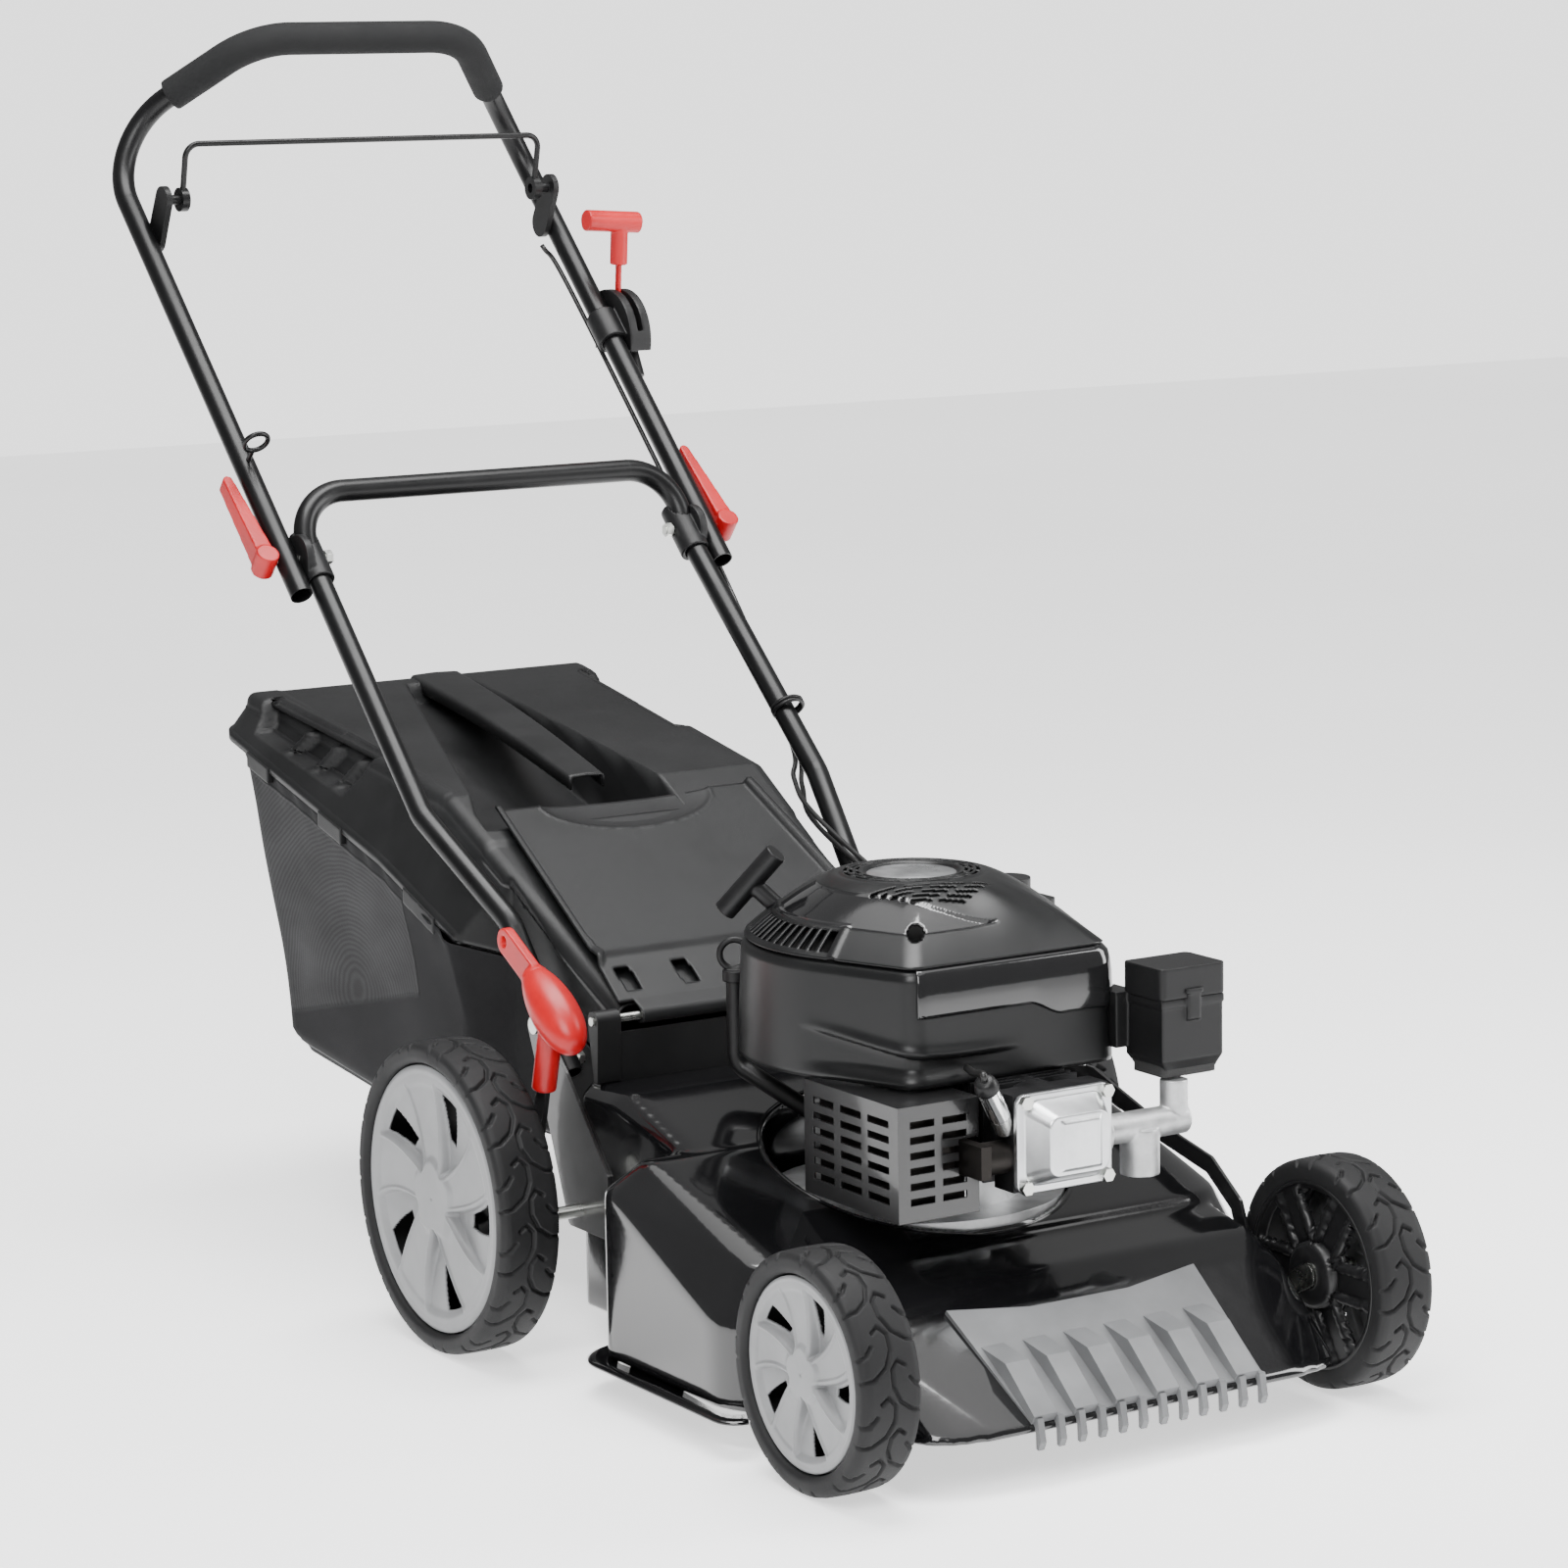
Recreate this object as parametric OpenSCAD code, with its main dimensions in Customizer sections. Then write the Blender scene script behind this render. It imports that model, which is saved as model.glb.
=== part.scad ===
// Walk-behind petrol lawn mower with a rear grass catcher.
// Own frame: +Z up, the mower faces -Y, +X is the mower's left, the ground is z = 0.
// Modules draw in the chassis frame (front axle over y = 0); the last lines shift
// the whole machine so that its origin is the middle of its footprint.

/* [Wheels] */
// Diameter of the front tyres
front_wheel_d = 200; // [180:1:220]
// Diameter of the rear tyres
rear_wheel_d = 280; // [260:1:300]
// Width of the front tyres
front_tyre_w = 56; // [44:1:60]
// Width of the rear tyres
rear_tyre_w = 58; // [46:1:60]
// Height of the tread above the wheel's disc
tread_h = 14; // [8:1:20]
// Distance between the mid planes of the front wheels
front_track = 518; // [514:1:560]
// Distance between the mid planes of the rear wheels
rear_track = 604; // [598:1:640]
// Distance from the front axle to the rear axle
wheelbase = 542; // [525:1:570]
// Diameter of the steel axles
axle_d = 12; // [10:0.5:14]

/* [Height setting] */
// Length of the cranked arms that carry the wheels
crank_r = 45; // [40:1:50]
// Angle of the arms above level in the lowest cutting height
crank_angle = 28; // [20:1:32]
// Radius of the small arms that the connecting strap joins
ear_r = 20; // [18:1:22]
// Thickness of the connecting strap
strap_t = 3; // [2:0.5:4]
// Length of the steel height lever, from the axle to the grip
lever_len = 160; // [150:1:180]

/* [Deck] */
// Thickness of the pressed steel sheet
sheet_t = 2; // [1.5:0.1:3]
// Half width of the cutting housing
deck_half_w = 268; // [262:1:272]
// Half width of the nose between the front wheels
nose_half_w = 216; // [205:1:218]
// Height of the deck's lower edge above the ground
rim_z = 30; // [22:1:36]
// Height of the plate that carries the engine
seat_z = 150; // [140:1:165]
// Height of the housing's rear corners
hump_z = 204; // [190:1:215]
// Height of the discharge tunnel at the rear
tunnel_z = 236; // [225:1:245]
// Half width of the discharge tunnel
tunnel_half_w = 196; // [190:1:200]
// Rear end of the discharge tunnel, behind the front axle
tunnel_end = 500; // [470:1:520]
// Width of the outward flange round the housing's lower edge
flange_w = 20; // [8:1:24]

/* [Front guard] */
// Half width of the guard along its top edge
guard_half_w = 126; // [110:1:140]
// Number of raised ribs
rib_count = 6; // [4:1:8]
// Height of the ribs above the guard's face
rib_h = 14; // [8:1:18]
// Thickness of the guard's moulding
guard_t = 4; // [3:0.5:6]

/* [Engine] */
// Distance of the crankshaft behind the front axle
engine_y = 260; // [250:1:270]
// Radius of the crankcase flange on the deck
flange_r = 130; // [115:1:134]
// Radius of the blower housing round the flywheel
shroud_r = 152; // [146:1:158]
// Height of the blower housing's lower edge
shroud_z = 288; // [282:1:296]
// Height of the blower housing
shroud_h = 97; // [85:1:105]
// Height of the top cover above the blower housing
cover_h = 54; // [45:1:60]
// Diameter of the crankshaft
crank_d = 25; // [22:0.5:28]
// Wall of the plastic covers
cover_t = 2.5; // [2:0.25:4]

/* [Blade] */
// Running gap between the blade's tips and the round chamber
tip_gap = 12; // [8:1:20]
// Width of the blade
blade_w = 56; // [45:1:65]
// Thickness of the blade
blade_t = 3.5; // [2.5:0.5:5]
// Height of the blade's underside above the ground
blade_z = 44; // [40:1:50]

/* [Handle] */
// Outer diameter of the handle tubes
tube_d = 22; // [19:0.5:25]
// Wall of the handle tubes
tube_wall = 1.2; // [1:0.1:2]
// Half distance between the lower handle's tubes at the knuckles
lower_half_w = 209; // [202:1:212]
// Space between the upper and the lower tube at the knuckles
tube_space = 3; // [2:0.5:6]
// Distance of the folding pivot behind the front axle
pivot_y = 984; // [970:1:1000]
// Height of the folding pivot
pivot_z = 664; // [650:1:680]
// Length of the upper tubes from the pivot to the corner of the loop
upper_len = 556; // [530:1:580]
// Diameter of the foam grip
foam_d = 33; // [28:1:36]
// Diameter of the stop bail's rod
bail_d = 6; // [5:0.5:8]

/* [Catcher and flap] */
// Half width of the catcher's lid
lid_half_w = 217; // [212:1:220]
// Distance of the catcher's back behind the front axle
catcher_end = 1190; // [1170:1:1210]
// Height of the catcher's bottom above the ground
bag_z = 150; // [140:1:170]
// Half width of the discharge flap
flap_half_w = 160; // [140:1:180]
// Length of the discharge flap
flap_len = 310; // [280:1:330]
// Angle of the flap above level while it lies on the catcher
flap_angle = 28; // [24:1:32]
// Diameter of the flap's hinge rod
rod_d = 8; // [6:0.5:10]

/* [Fits] */
// Radial clearance of pins and shafts that turn
fit = 0.05; // [0.02:0.01:0.09]
// Gap between pieces that move past each other
gap = 0.3; // [0.2:0.05:0.5]

/* [Hidden] */
$fn = 64;
black = [0.06, 0.06, 0.065];
plastic = [0.13, 0.13, 0.135];
silver = [0.66, 0.67, 0.68];
red = [0.85, 0.1, 0.08];
steel = [0.6, 0.61, 0.63];
rubber = [0.09, 0.09, 0.09];

tube_r = tube_d / 2;
axle_r = axle_d / 2;
front_r = front_wheel_d / 2;
rear_r = rear_wheel_d / 2;

// Cranked axles: the arms point back at the rear and forward at the front
arm_y = crank_r * cos(crank_angle);
arm_z = crank_r * sin(crank_angle);
rear_bar = [wheelbase - arm_y, rear_r - arm_z];
front_bar = [arm_y, front_r - arm_z];
ear_y = ear_r * sin(crank_angle);
ear_z = ear_r * cos(crank_angle);
arm_t = 4;
ear_x = nose_half_w + 2 + strap_t + 2 * gap;
front_arm_x = front_track / 2 - front_tyre_w / 2 - gap - arm_t;
rear_arm_x = rear_track / 2 - rear_tyre_w / 2 - gap - arm_t;

function unit(v) = v / norm(v);

// The upper tubes lie outside the lower ones
upper_half_w = lower_half_w + tube_d + tube_space;

// The handle leans at 45 degrees; its loop runs back down to a narrower top bar
lean = [0, cos(45), sin(45)];
bend_y = pivot_y + upper_len * cos(45);
bend_z = pivot_z + upper_len * sin(45);
top_half_w = 118;
top_y = bend_y - 122;
top_z = bend_z + 100;
bend_r = 78;
foam_r = foam_d / 2;

// The whole machine reaches from the front tyres to the back of the handle's loop
loop_in = unit([upper_half_w - top_half_w, top_y - bend_y, top_z - bend_z]);
loop_turn = acos(lean * loop_in);
loop_n = unit(loop_in - (lean * loop_in) * lean);
loop_c = [0, bend_y, 0] - bend_r * tan(loop_turn / 2) * lean + bend_r * loop_n;
rear_reach = loop_c[1] + bend_r * norm([lean[1], loop_n[1]]) + tube_r;
frame_shift = (rear_reach - front_r) / 2;

// Round chamber in which the blade turns
chamber_wall = 28;
chamber_r = deck_half_w - chamber_wall;
chamber_front = engine_y - chamber_r;
chamber_h = 74;
blade_len = 2 * (chamber_r - tip_gap);

// Slope of the nose under the front guard, in front of the chamber
nose_low = [chamber_front - 100, rim_z + 18];
nose_high = [chamber_front + 8, rim_z + 88];
nose_tip = nose_low[0] - 6;
nose_corner = nose_low[0] + 30;
nose_angle = atan2(nose_high[1] - nose_low[1], nose_high[0] - nose_low[0]);
nose_len = norm(nose_high - nose_low);

// The flap hinge lies above the rear end of the tunnel
hinge_y = tunnel_end - 12;
hinge_z = tunnel_z + 56;
flap_t = 3;

// Places the children with their Z axis along the line from a to b
module along(a, b) {
    d = b - a;
    translate(a) rotate([0, acos(d[2] / norm(d)), atan2(d[1], d[0])]) children();
}

module rod(a, b, r) {
    along(a, b) cylinder(h = norm(b - a), r = r);
}

// Tangent length of the arc at the corner p between the points a and b
function arc_tangent(a, p, b, bend) = bend * tan(acos(unit(p - a) * unit(b - p)) / 2);

// Short sleeve, a hair thicker than the bar, over the joint of a straight and an arc
sleeve = 0.05;

module joint_sleeve(p, u, r) {
    rod(p - 0.5 * u, p + 0.5 * u, r + sleeve);
}

// Round bar through the points, with arcs of the radius bend at the corners
module bar_path(pts, r, bend) {
    last = len(pts) - 1;
    t = [for (i = [0:last]) i == 0 || i == last ? 0 : arc_tangent(pts[i - 1], pts[i], pts[i + 1], bend)];
    for (i = [0:last - 1]) {
        u = unit(pts[i + 1] - pts[i]);
        rod(pts[i] + u * t[i], pts[i + 1] - u * t[i + 1], r);
    }
    for (i = [1:last - 1]) {
        u = unit(pts[i] - pts[i - 1]);
        v = unit(pts[i + 1] - pts[i]);
        n = unit(v - (u * v) * u);
        c = pts[i] - u * t[i] + n * bend;
        w = cross(-n, u);
        multmatrix([
            [-n[0], u[0], w[0], c[0]],
            [-n[1], u[1], w[1], c[1]],
            [-n[2], u[2], w[2], c[2]],
            [0, 0, 0, 1]
        ]) rotate_extrude(angle = acos(u * v)) translate([bend, 0]) circle(r);
        joint_sleeve(pts[i] - u * t[i], u, r);
        joint_sleeve(pts[i] + v * t[i], v, r);
    }
}

// Tube with the given wall, open at both ends
module tube_path(pts, r, wall, bend) {
    last = len(pts) - 1;
    first_u = unit(pts[1] - pts[0]);
    last_u = unit(pts[last] - pts[last - 1]);
    inner = [for (i = [0:last]) i == 0 ? pts[0] - first_u : i == last ? pts[last] + last_u : pts[i]];
    difference() {
        bar_path(pts, r, bend);
        bar_path(inner, r - wall, bend);
    }
}

function mirrored(pts) = [for (i = [len(pts) - 1:-1:0]) [-pts[i][0], pts[i][1], pts[i][2]]];

// Turns a profile in (y, z) into a plate across X, centred on x
module across(x, w) {
    translate([x - w / 2, 0, 0]) rotate([90, 0, 90]) linear_extrude(w) children();
}

// Places the children with their Z axis along +X
module along_x(x, y, z) {
    translate([x, y, z]) rotate([0, 90, 0]) children();
}

module hex_head(r, h) {
    cylinder(h = h, r = r, $fn = 6);
}

/* ---------- Deck ---------- */

nose_profile = [
    nose_low, nose_high, nose_high + [32, 14], [engine_y - 100, seat_z],
    [engine_y - 100, rim_z + 14],
    [nose_low[0] - 4, rim_z + 14]
];
tunnel_wall_x = tunnel_half_w - 20;

// Outer form of the deck, drawn in by inset for its inside, which also runs out below
module deck_form(inset) {
    low = rim_z - (inset > 0 ? 10 : 0);
    intersection() {
        across(0, 2 * (nose_half_w - inset)) union() {
            offset(delta = -inset) polygon(nose_profile);
            if (inset > 0)
                translate([nose_low[0] - 4 + inset, low]) square([engine_y - 20 - inset, 26 + inset]);
        }
        translate([0, 0, low]) linear_extrude(seat_z)
            offset(r = 36) offset(delta = -36 - inset) polygon([
                [-nose_half_w, 400], [-nose_half_w, nose_corner], [-nose_half_w + 66, nose_tip],
                [nose_half_w - 66, nose_tip], [nose_half_w, nose_corner], [nose_half_w, 400]
            ]);
    }
    hull() for (side = [-1, 1]) {
        translate([side * (deck_half_w - 70), engine_y - 90, low]) {
            cylinder(h = rim_z + chamber_h - low, r = 70 - inset, $fn = 48);
            cylinder(h = seat_z - low - inset, r = 46 - inset, $fn = 48);
        }
        translate([side * (deck_half_w - 24), engine_y + 71, low]) {
            cylinder(h = hump_z - low - 26, r = 24 - inset, $fn = 32);
            translate([-side * 18, -8, 0]) cylinder(h = hump_z - low - inset, r = 10, $fn = 32);
        }
    }
    // Round chamber for the blade
    translate([0, engine_y, low])
        cylinder(h = rim_z + chamber_h - low - inset, r = chamber_r - inset, $fn = 96);
    hull() for (side = [-1, 1]) {
        translate([side * tunnel_wall_x, engine_y + 60, low])
            cylinder(h = hump_z - low - inset - 6, r = 20 - inset, $fn = 32);
        translate([side * tunnel_wall_x, hinge_y - 40, low]) {
            cylinder(h = tunnel_z - low - 12, r = 20 - inset, $fn = 32);
            cylinder(h = tunnel_z - low - inset, r = 8, $fn = 32);
        }
        translate([side * tunnel_wall_x - 20 + inset, tunnel_end - 24, low])
            cube([40 - 2 * inset, 24 + 3 * inset, tunnel_z - low - 12 - inset]);
        translate([side * tunnel_wall_x - 8, tunnel_end - 24, low])
            cube([16, 24 + 3 * inset, tunnel_z - low - inset]);
    }
}

module engine_well(r, z) {
    translate([0, engine_y, z]) cylinder(h = 200, r = r);
}

// Flat flange round the cutting housing's lower edge, behind the front wheels
module deck_flange() {
    translate([0, 0, rim_z]) linear_extrude(sheet_t) difference() {
        offset(r = 30 + flange_w) offset(delta = -30)
            translate([-deck_half_w, engine_y - 160]) square([2 * deck_half_w, 255]);
        offset(delta = -1) translate([-deck_half_w, engine_y - 160]) square([2 * deck_half_w, 255]);
        translate([-400, -200]) square([800, 200 + front_r + 8]);
        translate([-tunnel_half_w, engine_y + 60]) square([2 * tunnel_half_w, 100]);
    }
}

module deck() color(black) difference() {
    union() {
        difference() {
            deck_form(0);
            engine_well(flange_r + 6, seat_z);
            difference() {
                deck_form(sheet_t);
                engine_well(flange_r + 6 + sheet_t, seat_z - sheet_t);
            }
        }
        deck_flange();
    }
    translate([0, engine_y, 0]) cylinder(h = 400, r = crank_d / 2 + 14);
    along_x(-300, front_bar[0], front_bar[1]) cylinder(h = 600, r = axle_r + fit);
    along_x(-300, rear_bar[0], rear_bar[1]) cylinder(h = 600, r = axle_r + fit);
}

rib_pitch = 2 * (guard_half_w - 14) / (rib_count - 0.5);
rib_top = nose_len * 0.66;

// Guard in its own plane: X across, Y up the nose, Z out of it
module front_guard() color(silver) {
    translate([0, nose_low[0], nose_low[1]]) rotate([nose_angle, 0, 0]) {
        linear_extrude(guard_t) polygon([
            [-guard_half_w + 9, 0], [guard_half_w - 9, 0], [guard_half_w, nose_len],
            [guard_half_w * 0.4, nose_len - 12], [-guard_half_w * 0.4, nose_len - 12],
            [-guard_half_w, nose_len]
        ]);
        for (i = [0:rib_count - 1])
            translate([(i - (rib_count - 1) / 2 - 0.1) * rib_pitch, 0, guard_t])
                across(0, rib_pitch * 0.56) polygon([
                    [0, 0], [0, rib_h * 0.5], [rib_top * 0.62, rib_h], [rib_top, 0]
                ]);
    }
    // Comb teeth under the ribs
    for (i = [0:2 * rib_count - 1])
        across((i - rib_count + 0.5) * rib_pitch / 2, 6) polygon([
            nose_low + [3, 2.3], nose_low + [1, 7], nose_low + [-7, 7], nose_low + [-11, -12],
            nose_low + [-8, -19], nose_low + [-5, -18], nose_low + [-4.3, -4], nose_low + [-0.2, 0.25]
        ]);
}

// Plate that closes the tunnel above the chute and carries the flap's hinge
module chute_plate() color(plastic) difference() {
    union() {
        translate([-tunnel_half_w + 6, hinge_y - 4, tunnel_z])
            cube([2 * tunnel_half_w - 12, 4, hinge_z - tunnel_z - 12]);
        for (side = [-1, 1])
            across(side * (flap_half_w + 18), 24) hull() {
                translate([hinge_y, hinge_z]) circle(9);
                translate([hinge_y - 6, tunnel_z + 1]) square([6, 1]);
            }
    }
    along_x(-300, hinge_y, hinge_z) cylinder(h = 600, r = rod_d / 2 + fit);
}

module flap_rod() color(steel)
    along_x(-flap_half_w - 32, hinge_y, hinge_z) cylinder(h = 2 * flap_half_w + 64, r = rod_d / 2);

spring_x = flap_half_w - 10;
spring_wire = 2;
spring_turns = 6;

// Torsion spring on the hinge rod, with one leg on the plate
module flap_spring() color(steel) {
    coil = rod_d / 2 + 2 * fit + gap + spring_wire / 2;
    for (i = [0:spring_turns - 1])
        along_x(spring_x - 2 + i * spring_wire * 0.9, hinge_y, hinge_z)
            rotate_extrude() translate([coil, 0]) circle(spring_wire / 2);
    rod([spring_x - 2, hinge_y - coil, hinge_z], [spring_x - 2, hinge_y - coil, hinge_z - 30],
        spring_wire / 2);
}

/* ---------- Handle ---------- */

// The lower tubes run from the brackets out to the knuckles and in again to the cross bar
leg_splay = 6;
leg_x = tunnel_half_w - tube_r - gap - leg_splay / 2;
leg_foot = [-leg_x, tunnel_end + 44, tunnel_z - 2];
leg_knee = [-leg_x - leg_splay, tunnel_end + 140, tunnel_z + 122];
leg_top = [-tunnel_half_w - 20, tunnel_end + 252, tunnel_z + 208];
knuckle = [-lower_half_w, pivot_y, pivot_z];
bar_corner = [-lower_half_w, pivot_y + 28, pivot_z + 60];
lower_bend_r = 50;
lower_path = [leg_foot, leg_knee, leg_top, knuckle, bar_corner];
foot_u = unit(leg_knee - leg_foot);
foot_bolts = [leg_foot + 14 * foot_u, leg_foot + 52 * foot_u];
bolt_r = 4;

module mirror_x() {
    children();
    mirror([1, 0, 0]) children();
}

module foot_bolt_holes() {
    mirror_x() for (p = foot_bolts)
        along_x(-tunnel_half_w - 20, p[1], p[2]) cylinder(h = 60, r = bolt_r + fit);
}

module pivot_holes() {
    along_x(-300, pivot_y, pivot_z) cylinder(h = 600, r = bolt_r + fit);
}

module rear_brackets() color(black) difference() {
    mirror_x() across(-tunnel_half_w - 1.5, 3) offset(r = 6) offset(delta = -6) polygon([
        [rear_bar[0] - 50, rear_bar[1] - 18], [rear_bar[0] + 22, rear_bar[1] - 18],
        [leg_foot[1] + 20, leg_foot[2] - 30], [foot_bolts[1][1] + 16, foot_bolts[1][2] - 4],
        [foot_bolts[1][1] + 4, foot_bolts[1][2] + 16], [leg_foot[1] - 22, leg_foot[2] + 6],
        [rear_bar[0] - 50, rear_bar[1] + 40]
    ]);
    foot_bolt_holes();
    along_x(-300, rear_bar[0], rear_bar[1]) cylinder(h = 600, r = axle_r + fit);
}

module lower_handle() color(black) difference() {
    tube_path(concat(lower_path, mirrored(lower_path)), tube_r, tube_wall, lower_bend_r);
    foot_bolt_holes();
    pivot_holes();
}

// Round serrated knuckle between the lower and the upper tube, saddled on the lower one
module knuckles() color(plastic) difference() {
    mirror_x() {
        along_x(-upper_half_w + tube_r + gap, pivot_y, pivot_z)
            cylinder(h = upper_half_w - lower_half_w - 2 * gap - tube_d + 6, r = 24);
        rod(knuckle - 30 * lean, knuckle + 26 * lean, tube_r + 4);
    }
    bar_path(concat(lower_path, mirrored(lower_path)), tube_r + fit, lower_bend_r);
    // Flat outer side, on which the upper tube folds
    mirror_x() translate([-upper_half_w - 60 + tube_r + gap, pivot_y - 60, pivot_z - 60])
        cube([60, 120, 120]);
    pivot_holes();
}

module handle_bolts() color(steel) mirror_x() {
    // Bracket bolts: head outside the plate, nut on the inner side of the tube
    for (p = foot_bolts) {
        along_x(-tunnel_half_w - 3 - 4, p[1], p[2]) cylinder(h = 4, r = 8);
        along_x(-tunnel_half_w - 3 - 4, p[1], p[2]) cylinder(h = tube_d + gap + 14, r = bolt_r);
        along_x(-leg_x + tube_r, p[1], p[2]) hex_head(7, 6);
    }
    // Clamp bolts through both tubes at the folding pivot
    along_x(-upper_half_w - tube_r, pivot_y, pivot_z)
        cylinder(h = upper_half_w - lower_half_w + tube_d + 12, r = bolt_r);
    along_x(-lower_half_w + tube_r + 4 + gap, pivot_y, pivot_z) hex_head(7, 7);
}

upper_pivot = [-upper_half_w, pivot_y, pivot_z];
upper_start = upper_pivot - 44 * lean;
upper_bend = [-upper_half_w, bend_y, bend_z];
top_corner = [-top_half_w, top_y, top_z];
upper_path = [upper_start, upper_bend, top_corner];

module upper_handle() color(black) difference() {
    tube_path(concat(upper_path, mirrored(upper_path)), tube_r, tube_wall, bend_r);
    pivot_holes();
}

// Foam over the top bar and both sloping ends
foam_start = upper_bend + 89 * unit(top_corner - upper_bend);

module foam_grip() color(plastic) difference() {
    bar_path(concat([foam_start, top_corner], mirrored([foam_start, top_corner])), foam_r, bend_r);
    bar_path(concat(upper_path, mirrored(upper_path)), tube_r + fit, bend_r);
}

// Stop bail and its two brackets
bail_pivot = [pivot_y + 279, pivot_z + 336];
bail_top = [bail_pivot[0] - 14, bail_pivot[1] + 55];
bail_x = upper_half_w - tube_r - 21;
bracket_foot = [pivot_y + 299, pivot_z + 299];

module bail_brackets() color(plastic) mirror_x() {
    across(-upper_half_w + tube_r + gap + 3, 6) hull() {
        translate(bracket_foot) circle(15);
        translate(bail_pivot) circle(14);
    }
    along_x(-upper_half_w + tube_r + gap + 6, bail_pivot[0], bail_pivot[1])
        cylinder(h = 16, r = 5);
}

module bail() color(black) {
    low = [-bail_x + 2, bail_pivot[0] - 3, bail_pivot[1] + 10];
    high = [-bail_x + 2, bail_top[0], bail_top[1]];
    path = [low, high];
    bar_path(concat(path, mirrored(path)), bail_d / 2, 14);
    mirror_x() difference() {
        along_x(-bail_x - 2, bail_pivot[0], bail_pivot[1]) cylinder(h = 8, r = 12);
        along_x(-bail_x - 20, bail_pivot[0], bail_pivot[1]) cylinder(h = 60, r = 5 + fit);
    }
}

// Throttle on the left tube: a quadrant whose lever swings forward in its slot
throttle_s = 270;
throttle_c = [upper_half_w + 24, pivot_y + 212, pivot_z + 181];
quadrant_r = 50;
quadrant_w = 25;
throttle_pin_r = 4;
throttle_up = unit([0, -9, 104]);
throttle_clamp = [upper_half_w, pivot_y, pivot_z] + throttle_s * lean;

// Places the children with their Z axis along +X and their X axis pointing up
module quadrant_frame(x) {
    translate([x, throttle_c[1], throttle_c[2]]) rotate([0, -90, 0]) mirror([0, 0, 1]) children();
}

module throttle_housing() color(black) difference() {
    union() {
        quadrant_frame(throttle_c[0] - quadrant_w / 2) intersection() {
            cylinder(h = quadrant_w, r = quadrant_r);
            translate([-12, -quadrant_r, 0]) cube([80, 1.5 * quadrant_r, quadrant_w]);
        }
        // Nose for the cable and clamp round the tube
        rod(throttle_c + [0, -38, -40], throttle_c + [0, -22, -8], 9);
        rod(throttle_clamp - 18 * lean, throttle_clamp + 18 * lean, tube_r + 5);
        translate([upper_half_w, throttle_clamp[1] - 6, throttle_clamp[2] - 24])
            cube([quadrant_w, 20, 22]);
    }
    rod([upper_half_w, pivot_y, pivot_z], [upper_half_w, pivot_y, pivot_z] + 500 * lean, tube_r + fit);
    // Slot in which the lever swings forward
    quadrant_frame(throttle_c[0] - 3) linear_extrude(6) {
        circle(16);
        polygon(concat([[0, 0]], [for (a = [-80:23:12]) 2 * quadrant_r * [cos(a), sin(a)]]));
    }
    quadrant_frame(throttle_c[0] - 8) cylinder(h = 16, r = throttle_pin_r);
}

module throttle_lever() color(red) {
    c = throttle_c;
    knob = c + 121 * throttle_up;
    quadrant_frame(c[0] - 8 + gap) cylinder(h = 16 - 2 * gap, r = throttle_pin_r - fit);
    intersection() {
        union() {
            quadrant_frame(c[0] - 2) cylinder(h = 4, r = 10);
            rod(c, c + 80 * throttle_up, 4);
        }
        translate(c - [2, 50, 50]) cube([4, 100, 200]);
    }
    rod(c + 76 * throttle_up, knob, 9);
    rod(knob - [40, 0, -2], knob + [22, 0, -2], 11);
}

// Twisted wire guide for the starter rope, on the right tube
module rope_guide() color(black) {
    base = upper_pivot + 118 * lean;
    n = [0, -sin(45), cos(45)];
    wire_r = 2.5;
    ring_r = 12;
    rod(base + (tube_r + gap) * n, base + (tube_r + 14) * n, wire_r);
    translate(base + (tube_r + 14 + ring_r) * n) rotate([-45, 0, 0])
        rotate_extrude() translate([ring_r, 0]) circle(wire_r);
}

// Cam lever that clamps the folding knuckle; side is -1 on the right and 1 on the left
cam_r = 11;
lever_angle = 40;
clamp_len = 105;
cam_x = upper_half_w + tube_r + cam_r + gap;

module clamp_lever(side) color(red) {
    l = [0, cos(lever_angle), sin(lever_angle)];
    a = [0, -sin(lever_angle), cos(lever_angle)];
    c = [side * cam_x, pivot_y, pivot_z];
    rod(c - 13 * a, c + 13 * a, cam_r);
    hull() {
        rod(c - 11 * a, c + 11 * a, cam_r - 2);
        rod(c + clamp_len * l - 8 * a, c + clamp_len * l + 8 * a, 5);
    }
}

/* ---------- Cables ---------- */

brake_points = [
    [212, 1270, 940], [228, 1236, 890], [228, 960, 614], [218, 806, 472], [202, 772, 436],
    [182, 700, 410], [174, 520, 352], [170, 466, 346], [120, 436, 343], [60.7, 401.3, 340]
];
throttle_points = [
    [258, 1157, 803], [258, 1146, 782], [242, 1090, 742], [242, 960, 612], [224, 806, 470],
    [210, 770, 428], [184, 700, 400], [182, 520, 338], [177, 466, 330], [110, 434, 316],
    [40.8, 408.8, 312]
];
cable_r = 2.5;

cable_sides = 8;
cable_steps = 6;

// Smooth curve through the points, with its end points repeated beyond the ends
function curve_point(a, b, c, d, t) = 0.5 * (2 * b + (c - a) * t + (2 * a - 5 * b + 4 * c - d) * t * t
    + (3 * b - a - 3 * c + d) * t * t * t);
function curve(pts) = let(last = len(pts) - 1) [
    for (i = [0:last - 1], k = [0:cable_steps - 1]) curve_point(
        pts[max(i - 1, 0)], pts[i], pts[i + 1], pts[min(i + 2, last)], k / cable_steps
    ),
    pts[last]
];

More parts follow.
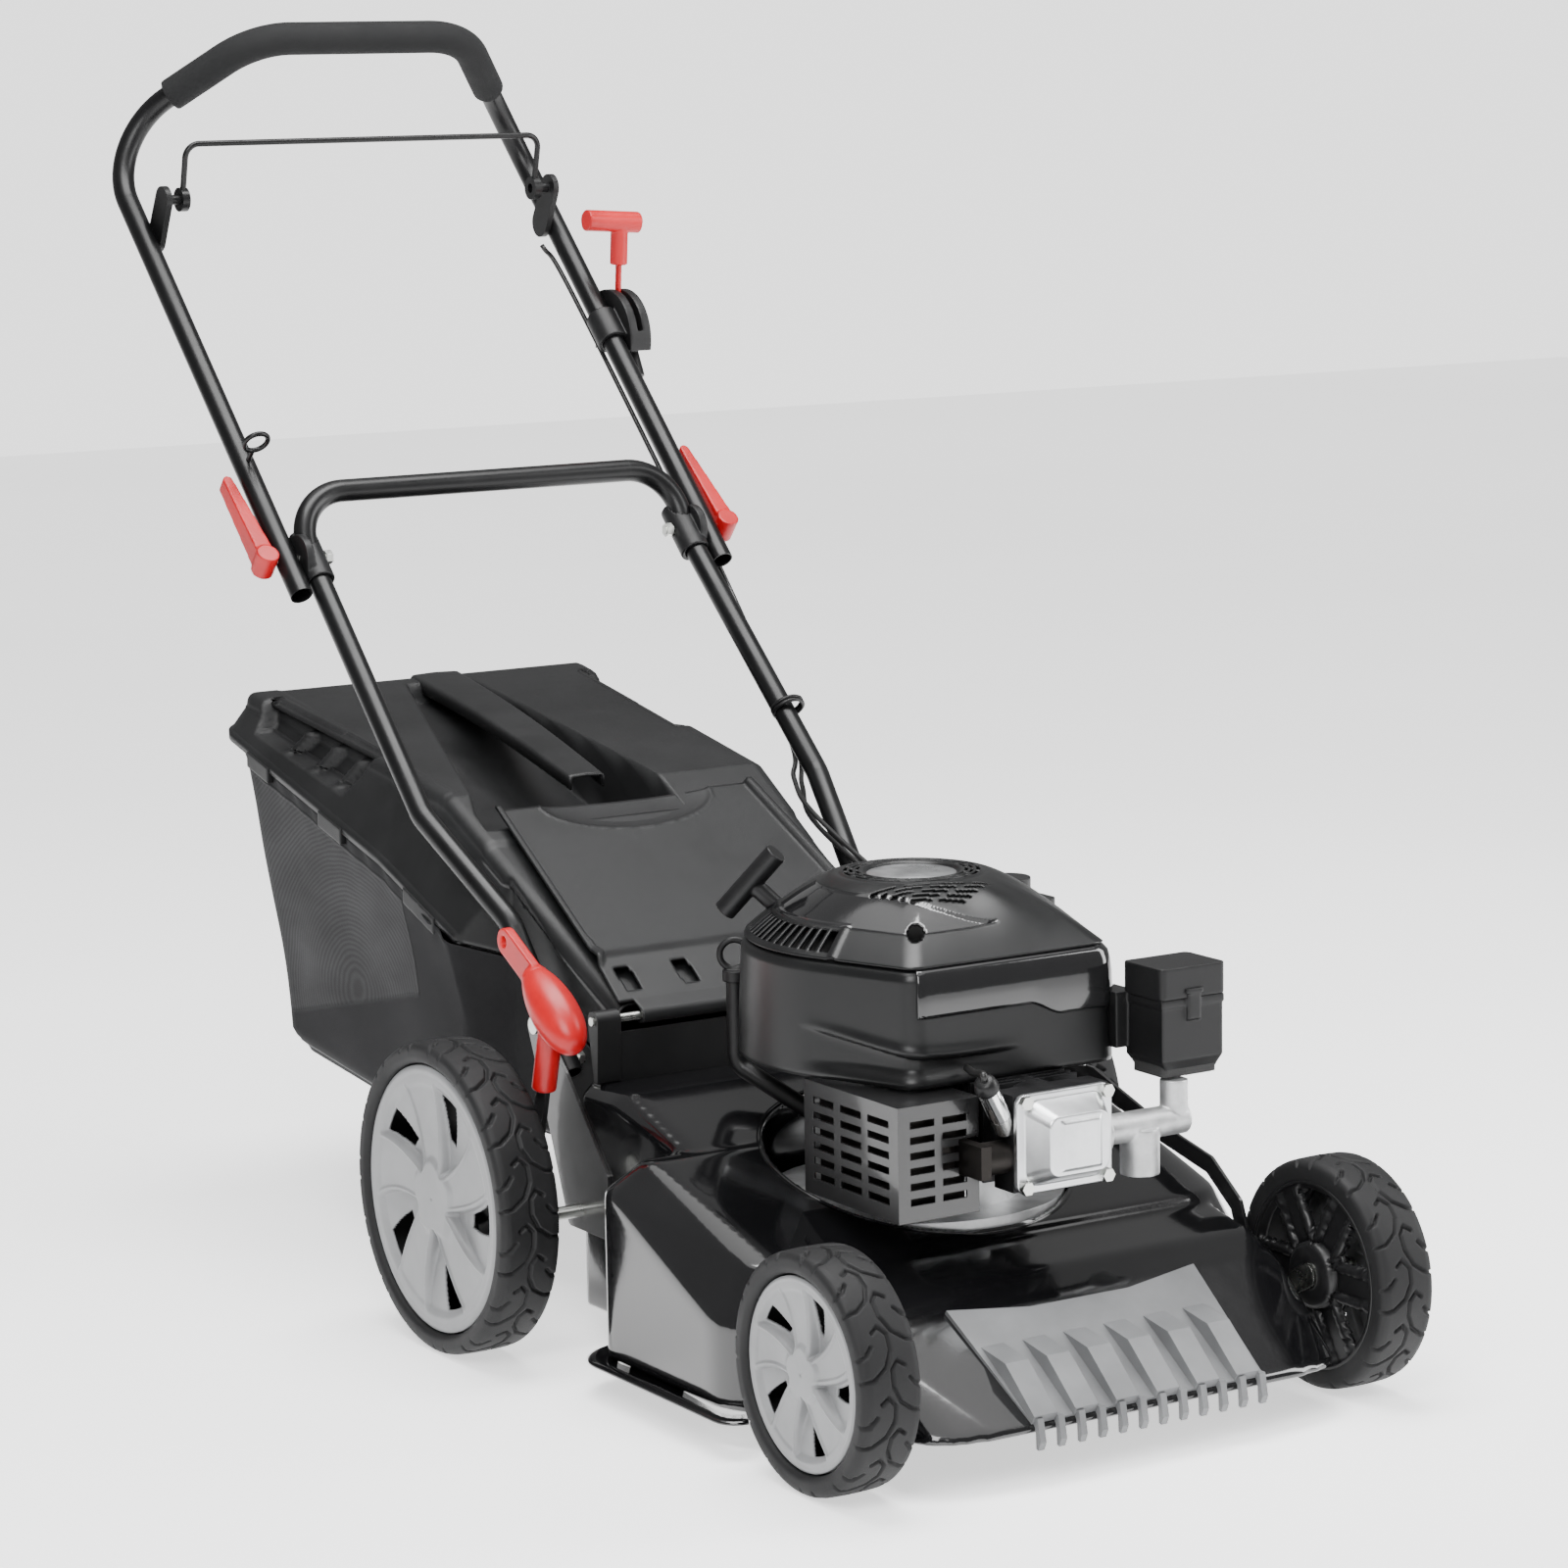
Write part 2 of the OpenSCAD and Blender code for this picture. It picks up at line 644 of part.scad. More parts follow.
// Round tube swept along the curve, in rings across its direction
module cable(pts) {
    line = curve(pts);
    last = len(line) - 1;
    rings = [for (i = [0:last]) let(
        u = unit(line[min(i + 1, last)] - line[max(i - 1, 0)]),
        n = unit(cross(u, [1, 0, 0])),
        m = cross(u, n)
    ) for (k = [0:cable_sides - 1]) line[i]
        + cable_r * (cos(360 * k / cable_sides) * n + sin(360 * k / cable_sides) * m)];
    polyhedron(rings, concat(
        [[for (k = [0:cable_sides - 1]) k]],
        [for (i = [0:last - 1], k = [0:cable_sides - 1]) let(
            j = i * cable_sides, next = (k + 1) % cable_sides
        ) [j + k, j + cable_sides + k, j + next]],
        [for (i = [0:last - 1], k = [0:cable_sides - 1]) let(
            j = i * cable_sides, next = (k + 1) % cable_sides
        ) [j + next, j + cable_sides + k, j + cable_sides + next]],
        [[for (k = [cable_sides - 1:-1:0]) last * cable_sides + k]]
    ));
}

module brake_cable() color(black) cable(brake_points);

module throttle_cable() color(black) cable(throttle_points);

/* ---------- Engine ---------- */

shroud_top = shroud_z + shroud_h;
cover_top = shroud_top + cover_h;
case_r = 72;
step_h = 32;
barrel_end = engine_y - case_r - 2;
head_y = 62;
bore_z = seat_z + 96;
head_half_w = 48;
front_y = 105;
corner_r = 22;
corner_x = 88;

module crankcase() color(steel) difference() {
    translate([0, engine_y, seat_z]) {
        cylinder(h = 10, r = flange_r);
        cylinder(h = step_h, r = flange_r * 0.72);
        cylinder(h = shroud_z - seat_z - 12, r = case_r);
        translate([-40, -case_r - 2, 55]) cube([80, 40, shroud_z - seat_z - 67]);
        // Lugs under the blower housing, none on the muffler's side
        for (a = [45, 135, 315]) rotate(a)
            translate([0, -9, shroud_z - seat_z - 14]) cube([shroud_r - 0.5, 18, 14]);
    }
    translate([0, engine_y, 0]) cylinder(h = 600, r = crank_d / 2 + fit);
    translate([0, engine_y, seat_z + 20]) cylinder(h = shroud_z - seat_z - 52, r = case_r - 12);
}

head_h = 82;
head_depth = 22;

module cylinder_block() {
    fin_pitch = 9;
    fins = floor((barrel_end - head_y - 24) / fin_pitch);
    difference() {
        union() {
            translate([0, barrel_end, bore_z]) rotate([90, 0, 0])
                cylinder(h = barrel_end - head_y, r = head_h / 2);
            for (i = [0:fins - 1])
                translate([-head_half_w, head_y + 22 + i * fin_pitch, bore_z - head_h / 2])
                    cube([2 * head_half_w, 3, head_h]);
            translate([-head_half_w, head_y - head_depth, bore_z - head_h / 2])
                cube([2 * head_half_w, head_depth + 6, head_h]);
        }
        translate([0, barrel_end + 1, bore_z]) rotate([90, 0, 0])
            cylinder(h = barrel_end - head_y - 8, r = 32.5);
    }
}

cover_bolts = [for (x = [-1, 1], z = [-1, 1]) [x * (head_half_w - 7), bore_z + z * 36]];

module valve_cover() color(silver) {
    y = head_y - head_depth;
    c = [0, y, bore_z];
    difference() {
        union() {
            translate(c) rotate([90, 0, 0]) linear_extrude(6)
                offset(r = 9) square([2 * head_half_w - 18, 84 - 18], center = true);
            hull() {
                translate(c) rotate([90, 0, 0]) linear_extrude(7)
                    offset(r = 12) square([56, 46], center = true);
                translate(c) rotate([90, 0, 0]) linear_extrude(28)
                    offset(r = 10) square([40, 30], center = true);
            }
        }
        for (b = cover_bolts)
            translate([b[0], y + 1, b[1]]) rotate([90, 0, 0]) cylinder(h = 9, r = 3 + fit);
    }
}

module valve_cover_bolts() color(steel)
    for (b = cover_bolts) translate([b[0], head_y - head_depth, b[1]]) rotate([90, 0, 0]) {
        cylinder(h = 10, r = 3);
        translate([0, 0, 6]) hex_head(6, 6);
    }

plug_foot = [-head_half_w, head_y - 11, bore_z + 12];
plug_u = unit([-0.55, -0.3, 0.78]);

module spark_plug() color(silver) difference() {
    union() {
        rod(plug_foot, plug_foot + 16 * plug_u, 9);
        rod(plug_foot, plug_foot + 34 * plug_u, 4);
    }
    translate([-head_half_w, 0, 0]) cube([2 * head_half_w, 400, 500]);
}

module plug_boot() color(steel) difference() {
    rod(plug_foot + (16 + gap) * plug_u, plug_foot + 56 * plug_u, 9.5);
    rod(plug_foot, plug_foot + 35 * plug_u, 4 + fit);
}

muffler_x = [-132, -70];
muffler_y = [80, 205];
muffler_z = [196, 280];

muffler_wall = 2;
port_z = bore_z - 12;

module muffler_shell(inset) {
    translate([muffler_x[0], muffler_y[0], muffler_z[0]] + inset * [1, 1, 1]) cube([
        muffler_x[1] - muffler_x[0] - 2 * inset, muffler_y[1] - muffler_y[0] - 2 * inset,
        muffler_z[1] - muffler_z[0] - 2 * inset
    ]);
}

module muffler() color(steel) difference() {
    union() {
        muffler_shell(0);
        along_x(muffler_x[1], head_y - 8, port_z) cylinder(h = -head_half_w - muffler_x[1], r = 14);
        translate([muffler_x[1] - 10, head_y - 22, port_z - 14])
            cube([10, muffler_y[0] - head_y + 22, 28]);
        translate([-96, muffler_y[0], bore_z - 6]) rotate([90, 0, 0]) cylinder(h = 8, r = 7);
    }
    muffler_shell(muffler_wall);
    // Outlet on the outer side
    along_x(muffler_x[0] - 1, muffler_y[0] + 30, muffler_z[0] + 24) cylinder(h = 10, r = 9);
}

guard_x = [-142, -62];
guard_y = [70, 214];
guard_z = [186, 284];

// Perforated heat guard: open towards the engine, with rows of slots
module muffler_guard() color(black) difference() {
    translate([guard_x[0], guard_y[0], guard_z[0]])
        cube([guard_x[1] - guard_x[0], guard_y[1] - guard_y[0], guard_z[1] - guard_z[0]]);
    translate([guard_x[0] + 2, guard_y[0] + 2, guard_z[0] + 2])
        cube([guard_x[1] - guard_x[0], guard_y[1] - guard_y[0], guard_z[1] - guard_z[0] - 4]);
    for (z = [guard_z[0] + 14:13:guard_z[1] - 16]) {
        for (y = [guard_y[0] + 14:42:guard_y[1] - 40])
            translate([guard_x[0] - 1, y, z]) cube([4, 32, 6]);
        for (x = [guard_x[0] + 12, guard_x[0] + 44])
            translate([x, guard_y[0] - 1, z]) cube([24, 4, 6]);
    }
    translate([muffler_x[1] - 12, guard_y[0] - 1, port_z - 16]) cube([40, 40, 32]);
}

module carburettor() color(silver) {
    y = head_y - 4;
    z = bore_z - 6;
    along_x(head_half_w, y, z) cylinder(h = 92, r = 13);
    along_x(head_half_w, y, z) cylinder(h = 6, r = 20);
    translate([94, y, z - 42]) cylinder(h = 40, r = 17);
    translate([130, y, z]) cylinder(h = filter_z - z, r = 12);
}

filter_x = [112, 178];
filter_y = [50, 104];
filter_z = 275;
filter_h = 70;
lid_h = 27;

module filter_block(grow, z, h) {
    translate([filter_x[0] - grow, filter_y[0] - grow, z]) linear_extrude(h) offset(r = 5)
        translate([5, 5])
            square([filter_x[1] - filter_x[0] + 2 * grow - 10, filter_y[1] - filter_y[0] + 2 * grow - 10]);
}

// Lid hinge behind the box: two barrels with a pin on the box, one between them on the lid
lid_hinge_r = 3;
lid_pin_r = 1.5;
lid_hinge = [filter_y[1] + 1 + lid_hinge_r + gap, filter_z + filter_h];
barrel_x = [filter_x[0] + 9, filter_x[0] + 24, filter_x[1] - 24, filter_x[1] - 9];

module lid_barrel(x0, x1, web_z) {
    along_x(x0, lid_hinge[0], lid_hinge[1]) cylinder(h = x1 - x0, r = lid_hinge_r);
    translate([x0, filter_y[1] - 0.5, web_z])
        cube([x1 - x0, lid_hinge[0] - filter_y[1] + 0.5, lid_hinge_r]);
}

module air_filter_box() color(plastic) {
    difference() {
        filter_block(0, filter_z, filter_h);
        filter_block(-cover_t, filter_z + cover_t, filter_h);
    }
    lid_barrel(barrel_x[0], barrel_x[1], lid_hinge[1] - lid_hinge_r);
    lid_barrel(barrel_x[2], barrel_x[3], lid_hinge[1] - lid_hinge_r);
    along_x(barrel_x[0] + 1, lid_hinge[0], lid_hinge[1])
        cylinder(h = barrel_x[3] - barrel_x[0] - 2, r = lid_pin_r);
}

module air_filter_element() color([0.2, 0.2, 0.2])
    filter_block(-cover_t - 2, filter_z + cover_t, filter_h - 10);

module air_filter_lid() color(plastic) difference() {
    union() {
        filter_block(1, filter_z + filter_h, lid_h);
        lid_barrel(barrel_x[1] + gap, barrel_x[2] - gap, lid_hinge[1]);
    }
    filter_block(-cover_t, filter_z + filter_h - 1, lid_h - cover_t);
    along_x(filter_x[0], lid_hinge[0], lid_hinge[1]) cylinder(h = 80, r = lid_pin_r + fit);
}

// Plan of the blower housing: round over the flywheel, squared over the cylinder
module shroud_plan(inset) {
    offset(delta = -inset) hull() {
        translate([0, engine_y]) circle(shroud_r, $fn = 96);
        for (side = [-1, 1]) translate([side * corner_x, front_y + corner_r]) circle(corner_r, $fn = 32);
    }
}

module blower_housing() color(plastic) difference() {
    translate([0, 0, shroud_z]) linear_extrude(shroud_h) shroud_plan(0);
    translate([0, 0, shroud_z - 1]) linear_extrude(shroud_h - cover_t + 1) shroud_plan(cover_t);
    translate([0, engine_y, shroud_top - 10]) cylinder(h = 20, r = 100);
}

module cover_form(inset) {
    hull() {
        translate([0, 0, shroud_top - (inset > 0 ? 1 : 0)]) linear_extrude(8) shroud_plan(5 + inset);
        translate([0, engine_y, cover_top - 10 - inset]) cylinder(h = 10, r = 66, $fn = 48);
    }
}

module top_cover() color(black) difference() {
    cover_form(0);
    cover_form(cover_t);
    // Air intake slots round the centre disc
    for (a = [0:15:345]) rotate_about_crank(a)
        translate([48, -2, cover_top - 20]) cube([12, 4, 40]);
}

module rotate_about_crank(a) {
    translate([0, engine_y, 0]) rotate(a) children();
}

tank_x = [96, 178];
tank_y = [engine_y + 30, engine_y + 138];
cap_c = [152, engine_y + 75];

module fuel_tank() color(plastic) difference() {
    union() {
        translate([tank_x[0], tank_y[0], shroud_z + 14]) linear_extrude(shroud_h - 8) offset(r = 12)
            translate([12, 12]) square([tank_x[1] - tank_x[0] - 24, tank_y[1] - tank_y[0] - 24]);
        translate([cap_c[0], cap_c[1], shroud_top]) cylinder(h = 14, r = 15);
    }
    translate([0, engine_y, 0]) cylinder(h = 600, r = shroud_r + gap);
    translate([cap_c[0], cap_c[1], shroud_z + 17]) cylinder(h = 200, r = 12);
}

module fuel_cap() color(black) translate([cap_c[0], cap_c[1], 0]) difference() {
    translate([0, 0, shroud_top + 8]) cylinder(h = 14, r = 21);
    translate([0, 0, shroud_top + 7]) cylinder(h = 7 + gap, r = 15 + gap);
}

filler_foot = [-36, engine_y + 58, seat_z + 52];
filler_bend = [-91, engine_y + 147, seat_z + 105];
filler_top = filler_bend + [0, 0, 75];

module oil_filler_tube() color(black) difference() {
    bar_path([filler_foot, filler_bend, filler_top], 8, 18);
    translate([0, engine_y, 0]) cylinder(h = 600, r = case_r);
    translate([0, engine_y, 0]) cylinder(h = seat_z + step_h, r = flange_r);
    translate(filler_bend + [0, 0, 4]) cylinder(h = 100, r = 5.5);
}

module dipstick() color(black) translate(filler_top) {
    cylinder(h = 10, r = 11);
    translate([0, 0, -50]) cylinder(h = 51, r = 2.5);
    translate([0, 0, 24]) rotate([0, 90, 58]) rotate_extrude() translate([13, 0]) circle(3);
}

// Recoil starter grip, parked on the back of the top cover
rope_u = unit([-0.55, 0.5, 0.67]);
grip_bar_u = unit(cross(rope_u, [-0.75, -0.66, 0]));
grip_c = [-103, engine_y + 98, shroud_top + 42];
grip_bar = 36;

module starter_grip() color(black) difference() {
    union() {
        rod(grip_c - 30 * rope_u, grip_c, 8);
        rod(grip_c - grip_bar * grip_bar_u, grip_c + grip_bar * grip_bar_u, 10);
    }
    cover_form(-gap);
}

/* ---------- Crankshaft and blade ---------- */

blade_top = blade_z + blade_t;
adapter_h = 26;

module crankshaft() color(steel) translate([0, engine_y, blade_top])
    cylinder(h = shroud_top - 30 - blade_top, r = crank_d / 2);

module flywheel() color(steel) translate([0, engine_y, shroud_z + 6]) difference() {
    union() {
        cylinder(h = 22, r = 92);
        for (a = [0:30:330]) rotate(a) translate([60, -1.5, 0]) cube([31, 3, 42]);
    }
    translate([0, 0, -1]) cylinder(h = 60, r = crank_d / 2);
}

module blade_adapter() color(steel) translate([0, engine_y, blade_top]) difference() {
    union() {
        cylinder(h = 8, r = 34);
        cylinder(h = adapter_h, r = 22);
    }
    translate([0, 0, -1]) cylinder(h = 60, r = crank_d / 2);
}

module blade() color(steel) translate([0, engine_y, blade_z]) difference() {
    union() {
        translate([-blade_len / 2, -blade_w / 2, 0]) cube([blade_len, blade_w, blade_t]);
        // Upturned trailing edges at both tips
        for (side = [0, 180]) rotate(side)
            translate([blade_len / 2 - 110, blade_w / 2 - blade_t, 0]) cube([110, blade_t, 16]);
    }
    translate([0, 0, -1]) cylinder(h = 30, r = 5 + fit);
}

module blade_bolt() color(steel) translate([0, engine_y, blade_z - 10]) {
    cylinder(h = 10 + blade_t, r = 5);
    translate([0, 0, 4]) cylinder(h = 6, r = 20);
    hex_head(9, 6);
}

/* ---------- Wheels and axles ---------- */

// Wheel turned about Z: its inner face is z = 0 and its outer face z = w
module wheel_form(r, w) {
    rim_r = r - tread_h;
    difference() {
        union() {
            rotate_extrude($fn = 96) polygon([
                [rim_r - 6, 0], [r - 8, 0], [r - 2, 5], [r, 12], [r, w - 12], [r - 2, w - 5],
                [r - 8, w], [rim_r - 2, w], [rim_r - 6, w - 8]
            ]);
            translate([0, 0, 6]) cylinder(h = 5, r = rim_r - 3);
            cylinder(h = w - 16, r = 24);
        }
        translate([0, 0, -1]) cylinder(h = w + 2, r = axle_r + fit);
        for (a = [0:60:300]) rotate(a) translate([rim_r * 0.62, 0, 0])
            cylinder(h = 20, r = rim_r * 0.17);
    }
}

// Five-spoked cap that fills the wheel's outer face
module hubcap_form(r, w) {
    rim_r = r - tread_h;
    translate([0, 0, w - 15.7]) difference() {
        union() {
            cylinder(h = 13, r = 22);
            difference() {
                cylinder(h = 12, r = rim_r - 6 - gap);
                translate([0, 0, -1]) cylinder(h = 14, r = rim_r - 15);
            }
            for (a = [18:72:306]) rotate(a) translate([0, -9, 2])
                cube([rim_r - 10, 18, 9]);
        }
        translate([0, 0, -1]) cylinder(h = 8, r = axle_r + 6);
    }
}

module wheel_at(side, track, y, r, w) {
    translate([side * (track / 2 - w / 2), y, r]) rotate([0, side * 90, 0]) children();
}

module front_wheel(side) color(rubber)
    wheel_at(side, front_track, 0, front_r, front_tyre_w) wheel_form(front_r, front_tyre_w);

module rear_wheel(side) color(rubber)
    wheel_at(side, rear_track, wheelbase, rear_r, rear_tyre_w) wheel_form(rear_r, rear_tyre_w);

module front_hubcap(side) color(silver)
    wheel_at(side, front_track, 0, front_r, front_tyre_w) hubcap_form(front_r, front_tyre_w);

module rear_hubcap(side) color(silver)
    wheel_at(side, rear_track, wheelbase, rear_r, rear_tyre_w) hubcap_form(rear_r, rear_tyre_w);

// Cranked axle: bar in the deck, arms at both ends, stubs in the wheels
module cranked_axle(bar, hub, arm_x, w) {
    along_x(-arm_x - arm_t, bar[0], bar[1]) cylinder(h = 2 * (arm_x + arm_t), r = axle_r);
    mirror_x() {
        across(arm_x + arm_t / 2, arm_t) hull() {
            translate(bar) circle(axle_r + 4);
            translate(hub) circle(axle_r + 4);
        }
        along_x(arm_x, hub[0], hub[1]) cylinder(h = arm_t + gap + w - 12, r = axle_r);
        along_x(arm_x + arm_t + 2 * gap + w - 16, hub[0], hub[1]) cylinder(h = 4, r = axle_r + 4);
    }
}

// Small arm with a pin for the connecting strap, on the left
module strap_ear(bar, pin) {
    across(ear_x + 1.5, 3) hull() {
        translate(bar) circle(axle_r + 3);
        translate(pin) circle(7);
    }
    along_x(ear_x - strap_t - 2 * gap, pin[0], pin[1]) cylinder(h = strap_t + 2 * gap, r = 4);
}

rear_pin = rear_bar + [-ear_y, ear_z];
front_pin = front_bar + [-ear_y, -ear_z];

module rear_axle() color(steel) {
    cranked_axle(rear_bar, [wheelbase, rear_r], rear_arm_x, rear_tyre_w);
    strap_ear(rear_bar, rear_pin);
}

module front_axle() color(steel) {
    cranked_axle(front_bar, [0, front_r], front_arm_x, front_tyre_w);
    strap_ear(front_bar, front_pin);
}

// The strap climbs over the housing's rear corner and bends down to the front pin
strap_w = 16;
strap_line = [
    front_pin, front_pin + [25, 1], [72, 104], [88, 146], [126, seat_z + 24],
    [200, seat_z + 40], [engine_y + 40, hump_z + 18], [engine_y + 85, hump_z + 19],
    rear_pin + [-15, 10], rear_pin
];
slot_drop = 2 * ear_r * (1 - cos(crank_angle)) + 0.4;

module height_link() color(black) across(ear_x - gap - strap_t / 2, strap_t) difference() {
    hair = [0, 0.01];
    last = len(strap_line) - 1;
    union() {
        offset(r = strap_w / 2, $fn = 32) polygon(concat(
            [for (i = [0:last]) strap_line[i] + hair], [for (i = [last:-1:0]) strap_line[i] - hair]
        ));
        translate(front_pin - [0, slot_drop / 2]) circle(strap_w / 2 + 2.5);
    }
    // The front pin stands in an upright slot, as its arm swings the other way
    hull() {
        translate(front_pin) circle(4 + fit);
        translate(front_pin - [0, slot_drop]) circle(4 + fit);
    }
    translate(rear_pin) circle(4 + fit);
}

// Flat steel lever on the rear axle, with a red grip that ends in a hooked clip
lever_x = -rear_arm_x + 12;
lever_u = unit([0, -43, 127]);
lever_w = 5;
stub_low = [lever_x, rear_bar[0], rear_bar[1]] + 134 * lever_u;
stub_top = [lever_x, stub_low[1] - 22, stub_low[2] + 50];
egg_u = [0, 0.8, 0.6];
egg_c = stub_top + [0, 2, 24];
clip_c = egg_c + [0, 79, 48];

module height_lever() color(black) across(lever_x, lever_w) difference() {
    hull() {
        translate(rear_bar) circle(14);
        translate(rear_bar + [lever_u[1], lever_u[2]] * lever_len) circle(6);
    }
    translate(rear_bar) circle(axle_r + fit);
}

module height_grip() color(red) difference() {
    union() {
        hull() {
            translate(egg_c - 36 * egg_u) sphere(14, $fn = 32);
            translate(egg_c) sphere(15.5, $fn = 32);
            translate(egg_c + 36 * egg_u) sphere(13, $fn = 32);
        }
        rod(stub_low, egg_c, 11);
        across(lever_x, 9) difference() {
            hull() {
                translate([egg_c[1] + 28, egg_c[2] + 21]) circle(12);
                translate([clip_c[1], clip_c[2]]) circle(12);
            }
            translate([clip_c[1], clip_c[2]]) circle(5);
        }
    }
    across(lever_x, lever_w + 2 * fit) hull() {
        translate(rear_bar) circle(14 + fit);
        translate(rear_bar + [lever_u[1], lever_u[2]] * lever_len) circle(6 + fit);
    }
}

/* ---------- Catcher and flap ---------- */

mouth_y = tunnel_end + gap;
flap_slope = tan(flap_angle);
flap_lift = 4;
// The closed flap rests on the lid's knee, a gap above it
lid_dot = 10;
knee_drop = 1.4;
lid_front_z = hinge_z + (flap_lift - gap - lid_dot) / cos(flap_angle) + lid_dot + knee_drop
    + (mouth_y - hinge_y) * flap_slope;
lid_front = [mouth_y + 12, lid_front_z + 12 * flap_slope];
lid_knee = [mouth_y + 285, lid_front_z + 285 * flap_slope];
lid_back = [catcher_end - 10, lid_knee[1] + 60];
rim_back = [catcher_end, lid_back[1] - 40];
rim_mid = [mouth_y + 345, lid_knee[1] - 68];
rim_front = [mouth_y, lid_front_z - 62];
leg_clear_w = leg_x - tube_r - 6;
cloth_t = 2.5;

module pair_of_dots(p, half_w, r) {
    for (side = [-1, 1]) translate([side * (half_w - r), p[0], p[1]]) sphere(r, $fn = 24);
}

module lid_form(inset) {
    hull() {
        pair_of_dots(lid_front + [0, -lid_dot - knee_drop - inset], lid_half_w - 58 - inset, 10);
        pair_of_dots(lid_knee + [0, -lid_dot - knee_drop - inset], lid_half_w - 40 - inset, 10);
        pair_of_dots(lid_back + [-10 - inset, -10 - inset], lid_half_w - 20 - inset, 10);
        pair_of_dots(rim_back + [-10 - inset, -40], lid_half_w - inset, 10);
        pair_of_dots(rim_mid + [0, -40], lid_half_w - inset, 10);
        pair_of_dots(rim_front + [12, -40], lid_half_w - 20 - inset, 10);
    }
}

// Everything under the rim line, grown up or down by shift
module below_rim(shift) {
    across(0, 800) polygon([
        rim_front + [-200, shift - 80], rim_front + [0, shift], rim_mid + [0, shift],
        rim_back + [0, shift], rim_back + [200, shift + 40], [2000, -100], [0, -100]
    ]);
}

// Room for the lower handle's legs on both sides of the catcher's neck
module leg_room(wall) {
    mirror_x() translate([0, 0, -10]) linear_extrude(800) offset(delta = wall) polygon([
        [leg_clear_w, 0], [leg_clear_w, leg_knee[1] + 40], [lid_half_w + 40, leg_knee[1] + 110],
        [lid_half_w + 200, 0]
    ]);
}

module behind_mouth() {
    translate([-400, mouth_y, 0]) cube([800, 1500, 1000]);
}

module catcher_lid() color(plastic) intersection() {
    difference() {
        lid_form(0);
        difference() {
            lid_form(cover_t);
            leg_room(cover_t);
        }
        below_rim(0);
        leg_room(0);
    }
    behind_mouth();
}

module bag_form(inset) {
    hull() {
        pair_of_dots(rim_back + [-22 - inset, 0], lid_half_w - 4 - inset, 8);
        pair_of_dots(rim_mid + [0, 0], lid_half_w - 4 - inset, 8);
        pair_of_dots(rim_front + [4, 0], lid_half_w - 36 - inset, 8);
        pair_of_dots([catcher_end - 94 - inset, bag_z + 20 + inset], lid_half_w - 8 - inset, 10);
        pair_of_dots([catcher_end - 305, bag_z + inset], lid_half_w - 8 - inset, 10);
        pair_of_dots([mouth_y + 4, bag_z + 10 + inset], lid_half_w - 50 - inset, 10);
    }
}

module catcher_bag() color([0.07, 0.07, 0.08]) intersection() {
    difference() {
        intersection() {
            bag_form(0);
            below_rim(0);
        }
        difference() {
            bag_form(cloth_t);
            leg_room(cloth_t);
        }
        leg_room(0);
    }
    behind_mouth();
}

module discharge_flap() color(plastic) difference() {
    translate([0, hinge_y, hinge_z]) rotate([flap_angle, 0, 0]) {
        difference() {
            union() {
                translate([0, 0, flap_lift]) linear_extrude(flap_t) flap_plan(0);
                // Stiffening edges
                translate([0, 0, flap_lift]) linear_extrude(10) difference() {
                    flap_plan(0);
                    translate([-400, -100]) square([800, 130]);
                    translate([0, 10]) flap_plan(flap_t);
                }
            }
            for (x = [-105, -45, 45, 105]) translate([x - 8, 26, 0]) cube([16, 28, 40]);
            translate([spring_x - 5, -12, -10]) cube([30, 24, 40]);
        }
        along_x(-spring_x + 6, 0, 0) cylinder(h = 2 * spring_x - 12, r = rod_d / 2 + 4);
        for (x = [-120:60:120]) translate([x - 4, -7, -4]) cube([8, 14, 10]);
    }
    along_x(-300, hinge_y, hinge_z) cylinder(h = 600, r = rod_d / 2 + fit);
}

// Plan of the flap, narrower at its free edge
module flap_plan(inset) {
    polygon([
        [-flap_half_w + inset, -4], [flap_half_w - inset, -4],
        [flap_half_w - 20 - inset, flap_len - 4], [-flap_half_w + 20 + inset, flap_len - 4]
    ]);
}

/* ---------- Assembly ---------- */

module place() {
    translate([0, -frame_shift, 0]) children();
}

place() deck();
place() front_guard();
place() chute_plate();
place() flap_rod();
place() flap_spring();
place() rear_brackets();
place() lower_handle();
place() handle_bolts();
place() knuckles();
place() brake_cable();
place() throttle_cable();
place() crankcase();
place() color(black) cylinder_block();  // cylinder
place() valve_cover();
place() valve_cover_bolts();
place() spark_plug();
place() plug_boot();
place() muffler();
place() muffler_guard();
place() carburettor();
place() air_filter_box();
place() air_filter_element();
place() blower_housing();
place() top_cover();
place() fuel_tank();
place() oil_filler_tube();
place() air_filter_lid();
place() starter_grip();
place() fuel_cap();
place() dipstick();
place() crankshaft();
place() flywheel();
place() blade_adapter();
place() blade();
place() blade_bolt();
place() front_wheel(1);  // wheel_front_left
place() front_wheel(-1);  // wheel_front_right
place() rear_wheel(1);  // wheel_rear_left
place() rear_wheel(-1);  // wheel_rear_right
place() front_hubcap(1);  // hubcap_front_left
place() front_hubcap(-1);  // hubcap_front_right
place() rear_hubcap(1);  // hubcap_rear_left
place() rear_hubcap(-1);  // hubcap_rear_right
place() rear_axle();
place() front_axle();
place() height_lever();
place() height_grip();
place() height_link();
place() upper_handle();
place() foam_grip();
place() bail_brackets();
place() bail();
place() throttle_housing();
place() throttle_lever();
place() rope_guide();
place() clamp_lever(1);  // clamp_lever_left
place() clamp_lever(-1);  // clamp_lever_right
place() catcher_lid();
place() catcher_bag();
place() discharge_flap();
